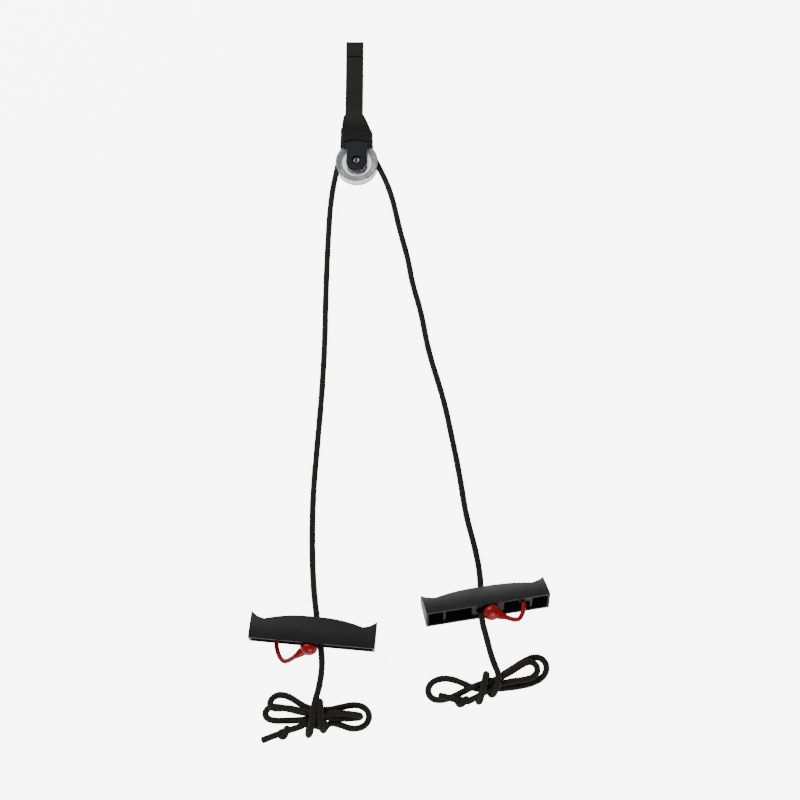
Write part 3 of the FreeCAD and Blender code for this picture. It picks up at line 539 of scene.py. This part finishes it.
def sleeve_points():
    """The heavy sleeve over the strap's foot.

    Round it, x and z follow a rounded box: cosine and sine raised to the power 0.36. Along it the wall goes
    up the outside, over a rolled rim, down the inside and over the lower rim. The outside is drawn in at its
    middle, and carries a coarse weave and a few soft folds. Both rims bow down towards the sides, by the
    square of x, and the upper half narrows, more on its right side.
    """
    half = (CUFF_HIGH - CUFF_LOW) / 2
    middle = (CUFF_HIGH + CUFF_LOW) / 2
    around, wall = 176, 0.0011
    angle = np.linspace(0, 2 * math.pi, around + 1)
    power = 0.36
    box_x = np.sign(np.cos(angle)) * np.abs(np.cos(angle)) ** power
    box_z = np.sign(np.sin(angle)) * np.abs(np.sin(angle)) ** power
    rows = 44
    up = np.linspace(-1, 1, rows)
    rim = np.linspace(0, math.pi, 9)[1:-1]
    y = np.concatenate([up, 1 + wall / 2 / half[1] * np.sin(rim) * 0.7, up[::-1],
                        -1 - wall / 2 / half[1] * np.sin(rim) * 0.7])
    inset = np.concatenate([np.zeros(rows), wall / 2 * (1 - np.cos(rim)), np.full(rows, wall),
                            wall / 2 * (1 + np.cos(rim))])
    outside = np.concatenate([np.ones(rows), np.zeros(len(y) - rows)])
    y_place = middle[1] + y * (half[1] - wall * 0.4)
    lap = np.cumsum(np.concatenate([[0.0], np.hypot(np.diff(box_x) * half[0], np.diff(box_z) * half[2])]))
    pinch = 0.0005 * np.cos(y * math.pi / 2) ** 2
    folds = (0.00022 * np.sin(lap[None, :-1] * 900 + 5 * y[:, None]) * np.cos(y[:, None] * 1.3)
             + 0.00016 * np.sin(y[:, None] * 9 + lap[None, :-1] * 260))
    weave = 0.00013 * np.abs(np.sin(math.pi * lap[None, :-1] / 0.0013)
                             * np.sin(math.pi * (y[:, None] * half[1] / 0.0015)))
    deep = inset[:, None] + (pinch[:, None] - folds * 0.8 - weave + 0.0002) * outside[:, None]
    taper = smoothstep((y[:, None] - 0.1) / 0.9) * np.where(box_x[None, :-1] > 0, 0.0026, 0.0004)
    x = middle[0] - 0.0004 + box_x[None, :-1] * (half[0] + 0.0004 - deep - taper)
    z = middle[2] + box_z[None, :-1] * (half[2] - deep)
    z = np.maximum(z, 0.00004)
    bow = (box_x[None, :-1]) ** 2
    upper, lower = smoothstep(y[:, None]), smoothstep(-y[:, None])
    y_place = y_place[:, None] - 0.0030 * bow * upper - lower * (0.0003 + 0.0046 * bow)
    points = np.stack([x, y_place, z], axis=-1)
    return points, lap, float(lap[-1])


# ---------------------------------------------------------------- rubber plugs

def handle_axes(side):
    """The handle's own frame: where its open side's middle is, and its x, y and z directions."""
    y_way = -unit(np.array(JOINTS[side + "_plug_pull"]["axis"]))
    slide = np.array(JOINTS[side + "_handle_adjust"]["axis"])
    x_way = -unit(slide - y_way * slide.dot(y_way))
    ways = np.stack([x_way, y_way, np.cross(x_way, y_way)])
    mesh = frame["nodes"][side + "_handle"].data
    places = np.zeros(len(mesh.vertices) * 3)
    mesh.vertices.foreach_get("co", places)
    reach = places.reshape(-1, 3) @ ways.T
    low, high = reach.min(axis=0), reach.max(axis=0)
    start = np.array(((low[0] + high[0]) / 2, low[1], (low[2] + high[2]) / 2))
    return start @ ways, ways


PLUG_X = -0.0036                 # the plug's middle, along the handle
PLUG_DROP = 0.0032               # the ball's middle, below the handle's open side
BALL = (0.0170, 0.0148)          # across and high
BALL_SHIFT = (0.0012, 0.0006)    # how far the ball leans towards the cord, and out over it
STEM = (0.0072, 0.0056, 0.0140)  # across at the ball, at the tip, and how far the stem reaches
NECK = (-0.0106, -0.0093, -0.0008)  # where the tether leaves the ball, in the handle's frame
NECK_ROOT = 0.0088               # the tether's width inside the ball
TETHER = 0.0046                  # its width from there on
RUBBER_VOXEL = 0.00042           # the mesh size that joins ball, stem and tether


def plug_profile():
    """The ball and its stem, as distance up the plug and radius there.

    The radius is the ball's circle, carried smoothly into a straight taper to the stem's rounded tip.
    """
    up = np.linspace(-PLUG_DROP - BALL[1] / 2, STEM[2], 90)
    ball = BALL[0] / 2 * np.sqrt(np.clip(1 - ((up + PLUG_DROP) / (BALL[1] / 2)) ** 2, 0, 1))
    taper = STEM[0] / 2 + (STEM[1] - STEM[0]) / 2 * np.clip(up / STEM[2], 0, 1)
    tip = np.sqrt(np.clip((STEM[2] - up) * (STEM[1] - (STEM[2] - up)) / (STEM[1] / 2) ** 2, 0, 1))
    taper = taper * np.where(up > STEM[2] - STEM[1] / 2, tip, 1)
    blend = 0.0016
    both = 0.5 * (ball + taper + np.sqrt((ball - taper) ** 2 + blend ** 2)) - blend * 0.2
    radius = np.where(up > -PLUG_DROP + BALL[1] * 0.2, both, ball)
    return up, radius


def rubber_plug(side):
    """The plug with its tether, moulded as one: a turned ball and stem, and a tapering, looping tail."""
    start, ways = handle_axes(side)
    up, radius = plug_profile()
    angle = np.linspace(0, 2 * math.pi, 49)[:-1]
    lean = smoothstep((0.002 - up) / 0.004)[:, None]
    outwards = BALL_SHIFT[1] * np.sign(ways[2][2])
    turned = np.stack(np.broadcast_arrays(
        PLUG_X + BALL_SHIFT[0] * lean + radius[:, None] * np.cos(angle), up[:, None],
        outwards * lean - radius[:, None] * np.sin(angle)), axis=-1)
    root = np.array((PLUG_X - 0.001, -PLUG_DROP - 0.001, 0.0))
    tail = smooth_route(np.concatenate([[root, NECK], np.array(TETHER_ROUTE)]))
    tail, along = evenly(tail, 0.0005)
    side_way, up_way = carried_frames(tail)
    slim = smoothstep((along - 0.004) / 0.011)
    thick = (NECK_ROOT / 2 + (TETHER - NECK_ROOT) / 2 * slim)[:, None, None]
    tube = tail[:, None] + thick * ring_ways(angle, side_way, up_way)
    piece = joined(side + "_rubber_plug", [turned @ ways + start, tube @ ways + start])
    remesh = piece.modifiers.new("one_moulding", "REMESH")
    remesh.mode = "VOXEL"
    remesh.voxel_size = RUBBER_VOXEL
    soften = piece.modifiers.new("soften", "SMOOTH")
    soften.factor, soften.iterations = 0.5, 10
    finished = bpy.data.meshes.new_from_object(piece.evaluated_get(bpy.context.evaluated_depsgraph_get()))
    piece.modifiers.clear()
    piece.data = finished
    finished.name = piece.name
    finished.shade_smooth()
    return piece, start, ways


# ---------------------------------------------------------------- shader node helpers

def node(tree, kind, inputs=(), **settings):
    """A new shader node, its settings, and its inputs by name or number: a value or a socket to link."""
    made = tree.nodes.new("ShaderNode" + kind)
    for name, setting in settings.items():
        setattr(made, name, setting)
    for name, source in dict(inputs).items():
        if isinstance(source, bpy.types.NodeSocket):
            tree.links.new(source, made.inputs[name])
        else:
            made.inputs[name].default_value = source
    return made


def maths(tree, operation, *values):
    return node(tree, "Math", enumerate(values), operation=operation).outputs[0]


def between(tree, factor, low, high):
    """low where the factor is 0 and high where it is 1, for plain numbers."""
    return node(tree, "MapRange", {"Value": factor, "To Min": low, "To Max": high}).outputs[0]


def mixed(tree, factor, first, second, blend="MIX"):
    made = node(tree, "Mix", {0: factor, 6: first, 7: second}, data_type="RGBA", blend_type=blend)
    return made.outputs[2]


def new_group(name, inputs, outputs):
    """An empty node group with named number, vector or colour sockets."""
    tree = bpy.data.node_groups.new(name, "ShaderNodeTree")
    kinds = {"number": "NodeSocketFloat", "vector": "NodeSocketVector", "colour": "NodeSocketColor"}
    for way, sockets in (("INPUT", inputs), ("OUTPUT", outputs)):
        for label, kind in sockets.items():
            tree.interface.new_socket(name=label, in_out=way, socket_type=kinds[kind])
    return tree, tree.nodes.new("NodeGroupInput").outputs, tree.nodes.new("NodeGroupOutput").inputs


def grain_group():
    """Fine and broad unevenness: a fine grain's height, and a slow drift of tone from 0 to 1."""
    tree, given, out = new_group("surface_grain", {"Vector": "vector", "Scale": "number"},
                                 {"Grain": "number", "Drift": "number"})
    fine = node(tree, "TexNoise", {"Vector": given["Vector"], "Scale": given["Scale"], "Detail": 6.0,
                                   "Roughness": 0.62})
    slow = node(tree, "TexNoise", {"Vector": given["Vector"], "Detail": 3.0,
                                   "Scale": maths(tree, "MULTIPLY", given["Scale"], 0.045)})
    tree.links.new(fine.outputs[0], out["Grain"])
    tree.links.new(slow.outputs[0], out["Drift"])
    return tree


def scuff_group():
    """A mask of light scuffs and dust: thin where two stretched noises agree."""
    tree, given, out = new_group("scuffs", {"Vector": "vector", "Scale": "number", "Amount": "number"},
                                 {"Mask": "number"})
    turned = node(tree, "Mapping", {"Vector": given["Vector"], "Rotation": (0.3, 0.2, 0.9),
                                    "Scale": (1.0, 9.0, 1.0)})
    streak = node(tree, "TexNoise", {"Vector": turned.outputs[0], "Scale": given["Scale"], "Detail": 5.0})
    patch = node(tree, "TexNoise", {"Vector": given["Vector"], "Detail": 2.0,
                                    "Scale": maths(tree, "MULTIPLY", given["Scale"], 0.2)})
    both = maths(tree, "MULTIPLY", streak.outputs[0], patch.outputs[0])
    mask = node(tree, "MapRange", {"Value": both, "From Min": 0.26, "From Max": 0.46, "To Min": 0.0,
                                   "To Max": given["Amount"]})
    tree.links.new(mask.outputs[0], out["Mask"])
    return tree


def braid_group():
    """A braid on a UV map whose first value runs along the cord in metres and second once round it.

    The two phases are strands * round + along / pick and the same with the sum's second part taken away. A
    lozenge's height is the product of the sines, and fine yarns run along whichever strand is on top.
    """
    tree, given, out = new_group("braid_lay", {"Strands": "number", "Pick": "number"},
                                 {"Height": "number", "Gap": "number"})
    lay = node(tree, "UVMap", uv_map="lay").outputs[0]
    part = node(tree, "SeparateXYZ", {"Vector": lay}).outputs
    round_it = maths(tree, "MULTIPLY", part[1], given["Strands"])
    along = maths(tree, "DIVIDE", part[0], given["Pick"])
    first = maths(tree, "ADD", round_it, along)
    second = maths(tree, "SUBTRACT", round_it, along)
    sines = [maths(tree, "ABSOLUTE", maths(tree, "SINE", maths(tree, "MULTIPLY", phase, math.pi)))
             for phase in (first, second)]
    lozenge = maths(tree, "POWER", maths(tree, "MULTIPLY", *sines), 0.5)
    parity = maths(tree, "PINGPONG", maths(tree, "ADD", maths(tree, "FLOOR", first),
                                           maths(tree, "FLOOR", second)), 1.0)
    yarns = [maths(tree, "ABSOLUTE", maths(tree, "SINE", maths(tree, "MULTIPLY", phase, 4 * math.pi)))
             for phase in (first, second)]
    difference = maths(tree, "SUBTRACT", yarns[1], yarns[0])
    yarn = maths(tree, "MULTIPLY_ADD", difference, parity, yarns[0])
    tree.links.new(maths(tree, "MULTIPLY_ADD", yarn, 0.3, maths(tree, "MULTIPLY", lozenge, 0.7)),
                   out["Height"])
    tree.links.new(maths(tree, "SUBTRACT", 1.0, lozenge), out["Gap"])
    return tree


def weave_group():
    """A weave on a UV map in metres: ribs along, and picks across that step half a length at each rib."""
    tree, given, out = new_group("webbing_weave", {"Rib": "number", "Pick": "number"},
                                 {"Height": "number", "Gap": "number"})
    lay = node(tree, "UVMap", uv_map="lay").outputs[0]
    part = node(tree, "SeparateXYZ", {"Vector": lay}).outputs
    across = maths(tree, "DIVIDE", part[1], given["Rib"])
    along = maths(tree, "DIVIDE", part[0], given["Pick"])
    rib = maths(tree, "ABSOLUTE", maths(tree, "SINE", maths(tree, "MULTIPLY", across, math.pi)))
    step = maths(tree, "MULTIPLY", maths(tree, "FLOOR", across), 0.5)
    stepped = maths(tree, "MULTIPLY", maths(tree, "ADD", along, step), math.pi)
    pick = maths(tree, "ABSOLUTE", maths(tree, "SINE", stepped))
    height = maths(tree, "MULTIPLY", maths(tree, "POWER", rib, 0.6), maths(tree, "POWER", pick, 0.5))
    tree.links.new(height, out["Height"])
    tree.links.new(maths(tree, "SUBTRACT", 1.0, height), out["Gap"])
    return tree


GROUPS = {}


def group(tree, name, inputs=()):
    """A copy of one of the shared groups, made the first time it is asked for."""
    makers = {"grain": grain_group, "scuffs": scuff_group, "braid": braid_group, "weave": weave_group}
    if name not in GROUPS:
        GROUPS[name] = makers[name]()
    return node(tree, "Group", inputs, node_tree=GROUPS[name]).outputs


def new_material(name, settings):
    """A material with one Principled shader and its plain settings. Returns it, its tree and the shader."""
    material = bpy.data.materials.new(name)
    material.use_nodes = True
    tree = material.node_tree
    shader = tree.nodes["Principled BSDF"]
    for label, setting in settings.items():
        shader.inputs[label].default_value = setting
    return material, tree, shader


def connect(tree, shader, colour=None, rough=None, height=None, strength=0.3, depth=0.0002, metal=None):
    """Links what a material works out to its shader."""
    for label, socket in (("Base Color", colour), ("Roughness", rough), ("Metallic", metal)):
        if socket is not None:
            tree.links.new(socket, shader.inputs[label])
    if height is not None:
        bump = node(tree, "Bump", {"Height": height, "Strength": strength, "Distance": depth})
        tree.links.new(bump.outputs[0], shader.inputs["Normal"])


def place_of(tree):
    return node(tree, "TexCoord").outputs["Object"]


def tone(colour, factor):
    return tuple(min(1.0, part * factor) for part in colour) + (1.0,)


# ---------------------------------------------------------------- materials

def fabric_material(name, colour, kind, sizes, sheen=0.35, light=1.55, gap_shade_tone=0.45):
    """Cloth or braid: painted shade darkens it between its yarns, so it reads lighter and fuzzier on them,
    with a slow drift of tone.
    """
    material, tree, shader = new_material(name, {"Sheen Weight": sheen, "Sheen Roughness": 0.55,
                                                 "Specular IOR Level": 0.28})
    lay = group(tree, kind, sizes)
    grain = group(tree, "grain", {"Vector": place_of(tree), "Scale": 1400.0})
    worn = mixed(tree, grain["Drift"], tone(colour, 0.82), tone(colour, light))
    flecked = mixed(tree, maths(tree, "MULTIPLY", grain["Grain"], 0.35), worn, tone(colour, 1.9))
    # painted shade: the gaps between yarns, where the relief is low, are darkened towards the gap shade tone
    shaded = mixed(tree, maths(tree, "MULTIPLY", lay["Gap"], 0.85), flecked, tone(colour, gap_shade_tone))
    rough = between(tree, grain["Grain"], 0.68, 0.92)
    height = maths(tree, "MULTIPLY_ADD", grain["Grain"], 0.25, lay["Height"])
    connect(tree, shader, shaded, rough, height, strength=0.75, depth=0.00022)
    return material


def moulded_material(name, colour, rough=(0.34, 0.52), scuff=0.30, grain_scale=900.0, coat=0.0):
    """Moulded plastic: a fine spark grain, a little drift in its gloss, and pale scuffs."""
    material, tree, shader = new_material(name, {"Specular IOR Level": 0.5, "Coat Weight": coat,
                                                 "Coat Roughness": 0.25})
    place = place_of(tree)
    grain = group(tree, "grain", {"Vector": place, "Scale": grain_scale})
    scuffs = group(tree, "scuffs", {"Vector": place, "Scale": 160.0, "Amount": scuff})
    body = mixed(tree, grain["Drift"], tone(colour, 0.85), tone(colour, 1.25))
    dusted = mixed(tree, scuffs["Mask"], body, tone(colour, 2.6))
    gloss = maths(tree, "MULTIPLY_ADD", scuffs["Mask"], 0.25, between(tree, grain["Drift"], *rough))
    connect(tree, shader, dusted, gloss, grain["Grain"], strength=0.28, depth=0.00012)
    return material


def about_axle(tree, ring_scale, distortion, detail):
    """Object coordinates with the axle at zero, and rings about it."""
    centred = node(tree, "Mapping", {"Vector": place_of(tree), "Location": tuple(-AXLE)}).outputs[0]
    rings = node(tree, "TexWave", {"Vector": centred, "Scale": ring_scale, "Distortion": distortion,
                                   "Detail": detail}, wave_type="RINGS", rings_direction="Z").outputs[1]
    return centred, rings


def nylon_material(name, colour):
    """Milky nylon: light spreads inside it, with faint turning rings and a soft gloss."""
    material, tree, shader = new_material(name, {
        "Subsurface Weight": 0.35, "Subsurface Radius": (1.0, 1.0, 0.95), "Subsurface Scale": 0.003,
        "Transmission Weight": 0.48, "IOR": 1.4, "Specular IOR Level": 0.5, "Coat Weight": 0.1,
        "Coat Roughness": 0.2})
    centred, rings = about_axle(tree, 420.0, 0.6, 1.0)
    grain = group(tree, "grain", {"Vector": centred, "Scale": 300.0})
    body = mixed(tree, grain["Drift"], tone(colour, 0.94), tone(colour, 1.03))
    rough = between(tree, grain["Grain"], 0.24, 0.42)
    connect(tree, shader, body, rough, maths(tree, "MULTIPLY_ADD", rings, 0.3, grain["Grain"]),
            strength=0.1, depth=0.0001)
    return material


def rubber_material(name, colour):
    """Soft glossy elastomer: a deep even red with a thin bloom and faint moulding grain."""
    material, tree, shader = new_material(name, {
        "Specular IOR Level": 0.55, "Coat Weight": 0.30, "Coat Roughness": 0.16,
        "Subsurface Weight": 0.08, "Subsurface Radius": (1.0, 0.2, 0.15), "Subsurface Scale": 0.002})
    place = place_of(tree)
    grain = group(tree, "grain", {"Vector": place, "Scale": 700.0})
    scuffs = group(tree, "scuffs", {"Vector": place, "Scale": 240.0, "Amount": 0.16})
    body = mixed(tree, grain["Drift"], tone(colour, 0.88), tone(colour, 1.12))
    bloom = mixed(tree, scuffs["Mask"], body, (0.75, 0.16, 0.15, 1.0))
    connect(tree, shader, bloom, between(tree, grain["Grain"], 0.24, 0.40), grain["Grain"], strength=0.12,
            depth=0.0001)
    return material


def steel_material(name, colour):
    """Plated steel, its head spun: fine rings about the axle, and a little tarnish."""
    material, tree, shader = new_material(name, {"Metallic": 1.0})
    centred, rings = about_axle(tree, 900.0, 1.5, 2.0)
    grain = group(tree, "grain", {"Vector": centred, "Scale": 1200.0})
    body = mixed(tree, grain["Drift"], tone(colour, 0.7), tone(colour, 1.25))
    rough = between(tree, grain["Grain"], 0.22, 0.45)
    connect(tree, shader, body, rough, rings, strength=0.2, depth=0.00005)
    return material


def thread_material(name, colour):
    """Sewing thread: twisted plies along each stitch, with painted highlight on their crowns and painted
    shade between them.
    """
    material, tree, shader = new_material(name, {"Sheen Weight": 0.4, "Sheen Roughness": 0.4})
    place = place_of(tree)
    grain = group(tree, "grain", {"Vector": place, "Scale": 2600.0})
    twist = node(tree, "TexWave", {"Vector": place, "Scale": 1500.0, "Distortion": 1.0},
                 bands_direction="DIAGONAL").outputs[1]
    # painted highlight and painted shade: the twist bands, which also drive the bump, lighten the plies'
    # crowns and darken the grooves
    body = mixed(tree, twist, tone(colour, 0.9), tone(colour, 1.7))
    connect(tree, shader, body, between(tree, grain["Grain"], 0.6, 0.85), twist, strength=0.4, depth=0.0001)
    return material


def floor_material():
    """A white sheet that is lit from behind where the camera, a gloss or a look through nylon meets it."""
    material, tree, shader = new_material("stage_floor", {"Roughness": 0.9, "Specular IOR Level": 0.1,
                                                          "Emission Color": (1.0, 1.0, 1.0, 1.0)})
    rays = node(tree, "LightPath").outputs
    seen = maths(tree, "MULTIPLY", rays["Is Camera Ray"], SEEN_GLOW)
    glossed = maths(tree, "MULTIPLY_ADD", rays["Is Glossy Ray"], GLOSS_GLOW, seen)
    through = maths(tree, "MULTIPLY_ADD", rays["Is Transmission Ray"], THROUGH_GLOW, glossed)
    tree.links.new(through, shader.inputs["Emission Strength"])
    drift = node(tree, "TexNoise", {"Vector": place_of(tree), "Scale": 1.5}).outputs[0]
    tree.links.new(mixed(tree, drift, (0.93, 0.93, 0.93, 1), (0.96, 0.96, 0.96, 1)),
                   shader.inputs["Base Color"])
    return material


def finish_piece(piece, material):
    """One material over the whole piece."""
    piece.data.materials.clear()
    piece.data.materials.append(material)


def finish_node(name, material):
    """A better material on a piece that keeps its own shape."""
    for slot in frame["nodes"][name].material_slots:
        slot.material = material


# ---------------------------------------------------------------- operators

class REACHSET_OT_cords(bpy.types.Operator):
    """Build the two lengths of braided cord, each from the sheave to its knotted end"""
    bl_idname = "reachset.cords"
    bl_label = "Cords"

    def execute(self, context):
        sizes, colours = context.scene.reachset_cord, context.scene.reachset_colours
        material = fabric_material("braided_cord", colours.cord, "braid",
                                   {"Strands": float(sizes.strands), "Pick": sizes.pick}, sheen=0.25)
        lengths = {"left": sizes.left_length, "right": sizes.right_length}
        for side, length in lengths.items():
            mesh, line = braid_tube(side + "_cord_braid", cord_route(side), sizes)
            cord = new_piece(side + "_cord_braid", mesh)
            finish_piece(cord, material)
            names = [side + "_cord", side + "_hank", side + "_cord_tail", side + "_stopper_knot"]
            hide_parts(*(names + ["cord_over_sheave"]))
            first = run_points(LEFT_RUN if side == "left" else RIGHT_RUN)[0].tolist()
            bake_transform(cord)
        return {"FINISHED"}


class REACHSET_OT_strap(bpy.types.Operator):
    """Build the doubled webbing strap, its hem and its stitches"""
    bl_idname = "reachset.strap"
    bl_label = "Strap"

    def execute(self, context):
        sizes, colours = context.scene.reachset_strap, context.scene.reachset_colours
        material = fabric_material("strap_webbing_cloth", colours.webbing, "weave",
                                   {"Rib": sizes.rib, "Pick": sizes.pick}, sheen=0.2, light=1.35)
        flare = float(STRAP_HIGH[0] - STRAP_LOW[0]) / 2
        edges = (strap_edge(flare * 0.79, 0.0165, 0.45), strap_edge(flare * 1.03, 0.0175, 1.0))
        front_line = strap_side(PLY / 2, float(STRAP_HIGH[1]) - PLY * 1.2)
        pleats = flare_pleats(sizes)
        for name, line in (("strap_back_ply", hem_return()), ("strap_front_ply", front_line)):
            mesh = ribbon(name, line, edges[0], edges[1], PLY * 0.94, sizes, pleats)
            ply = new_piece(name, mesh)
            finish_piece(ply, material)
            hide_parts("strap_webbing", "strap_hem")
            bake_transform(ply)
        stitches = joined("hem_thread", stitch_rows(sizes))
        finish_piece(stitches, thread_material("sewing_thread", colours.webbing))
        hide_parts("hem_stitching")
        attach(stitches, "strap")
        return {"FINISHED"}


class REACHSET_OT_sleeve(bpy.types.Operator):
    """Build the woven sleeve over the strap's foot"""
    bl_idname = "reachset.sleeve"
    bl_label = "Sleeve"

    def execute(self, context):
        colours = context.scene.reachset_colours
        points, lap, girth = sleeve_points()
        along = np.arange(len(points) + 1) * 0.0004
        closed = np.concatenate([points, points[:1]])
        mesh = grid_mesh("woven_sleeve", closed, uv=(along, lap), close_ends=False)
        sleeve = new_piece("woven_sleeve", mesh)
        finish_piece(sleeve, fabric_material("sleeve_cloth", colours.sleeve, "weave",
                                             {"Rib": 0.0013, "Pick": 0.0016}, sheen=0.3))
        finish_node("strap_loop", bpy.data.materials["strap_webbing_cloth"])
        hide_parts("strap_cuff")
        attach(sleeve, "block")
        return {"FINISHED"}


class REACHSET_OT_plugs(bpy.types.Operator):
    """Build the two rubber plugs with their looped tethers"""
    bl_idname = "reachset.plugs"
    bl_label = "Plugs"

    def execute(self, context):
        material = rubber_material("soft_red_rubber", context.scene.reachset_colours.rubber)
        for side in ("left", "right"):
            piece, start, ways = rubber_plug(side)
            finish_piece(piece, material)
            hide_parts(side + "_plug", side + "_tether")
            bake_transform(piece)
        return {"FINISHED"}


class REACHSET_OT_hardware(bpy.types.Operator):
    """Finish the block, the sheave, the axle and the handles"""
    bl_idname = "reachset.hardware"
    bl_label = "Block and handles"

    def execute(self, context):
        colours = context.scene.reachset_colours
        block = moulded_material("block_moulding", colours.block, rough=(0.30, 0.42), scuff=0.2, coat=0.15)
        handle = moulded_material("handle_moulding", colours.handle, rough=(0.36, 0.50), scuff=0.25,
                                  grain_scale=700.0)
        steel = steel_material("rivet_steel", colours.steel)
        for name in ("front_cheek", "back_cheek"):
            finish_node(name, block)
        for name in ("left_handle", "right_handle"):
            finish_node(name, handle)
        for name in ("axle_rivet", "axle_spacer", "rivet_washer"):
            finish_node(name, steel)
        finish_node("sheave", nylon_material("sheave_nylon", colours.sheave))
        return {"FINISHED"}


def aim_at(carrier, place, aim):
    """Puts a lamp or camera at a place, facing its aim."""
    carrier.location = place
    carrier.rotation_euler = (Vector(aim) - Vector(place)).to_track_quat("-Z", "Y").to_euler()


def area_light(name, size, power, place, aim):
    """A square lamp at a place, facing its aim."""
    light = bpy.data.lights.new(name, "AREA")
    light.size, light.energy = size, power
    aim_at(new_piece(name, light), place, aim)


class REACHSET_OT_stage(bpy.types.Operator):
    """Set the pale floor, the soft lights and the camera"""
    bl_idname = "reachset.stage"
    bl_label = "Stage"

    def execute(self, context):
        corners = [(x * FLOOR_REACH, y * FLOOR_REACH, 0) for x, y in ((-1, -1), (1, -1), (1, 1), (-1, 1))]
        mesh = bpy.data.meshes.new("floor")
        mesh.from_pydata(corners, [], [(0, 1, 2, 3)])
        floor = new_piece("floor", mesh)
        floor.data.materials.append(floor_material())
        world = bpy.data.worlds.new("studio")
        context.scene.world = world
        world.use_nodes = True
        tree = world.node_tree
        backdrop = tree.nodes["Background"]
        outward = node(tree, "TexCoord").outputs["Generated"]
        height = node(tree, "SeparateXYZ", {"Vector": outward}).outputs[2]
        dome = node(tree, "MapRange", {"Value": height, "From Min": 0.1, "From Max": 0.85, "To Min": 1.1,
                                       "To Max": 0.22}).outputs[0]
        tree.links.new(dome, backdrop.inputs["Strength"])
        area_light("key", 0.7, 9.0, (-0.75, 0.75, 1.0), (0, 0, 0))
        area_light("front", 0.9, 6.0, (0.35, -1.45, 0.7), (0, -0.1, 0))
        lens = bpy.data.cameras.new("camera")
        lens.sensor_width, lens.lens = SENSOR, LENS
        camera = new_piece("camera", lens)
        aim_at(camera, CAMERA_PLACE, CAMERA_AIM)
        context.scene.camera = camera
        return {"FINISHED"}


class REACHSET_PT_panel(bpy.types.Panel):
    """The set's steps, in the order they are made"""
    bl_idname = "REACHSET_PT_panel"
    bl_label = "Reach Set"
    bl_space_type = "VIEW_3D"
    bl_region_type = "UI"
    bl_category = "Reach Set"

    def draw(self, context):
        column = self.layout.column()
        for step in STEPS:
            column.operator(step.bl_idname)
        for sizes in (context.scene.reachset_cord, context.scene.reachset_strap,
                      context.scene.reachset_colours):
            for label in sizes.__annotations__:
                column.prop(sizes, label)


STEPS = (REACHSET_OT_cords, REACHSET_OT_strap, REACHSET_OT_sleeve, REACHSET_OT_plugs, REACHSET_OT_hardware,
         REACHSET_OT_stage)
CLASSES = (CordSizes, StrapSizes, SetColours) + STEPS + (REACHSET_PT_panel,)


def register():
    for one in CLASSES:
        bpy.utils.register_class(one)
    bpy.types.Scene.reachset_cord = PointerProperty(type=CordSizes)
    bpy.types.Scene.reachset_strap = PointerProperty(type=StrapSizes)
    bpy.types.Scene.reachset_colours = PointerProperty(type=SetColours)


def unregister():
    del bpy.types.Scene.reachset_colours
    del bpy.types.Scene.reachset_strap
    del bpy.types.Scene.reachset_cord
    for one in reversed(CLASSES):
        bpy.utils.unregister_class(one)


def main():
    register()
    bpy.ops.reachset.cords()
    bpy.ops.reachset.strap()
    bpy.ops.reachset.sleeve()
    bpy.ops.reachset.plugs()
    bpy.ops.reachset.hardware()
    bpy.ops.reachset.stage()


if __name__ == "__main__":
    main()
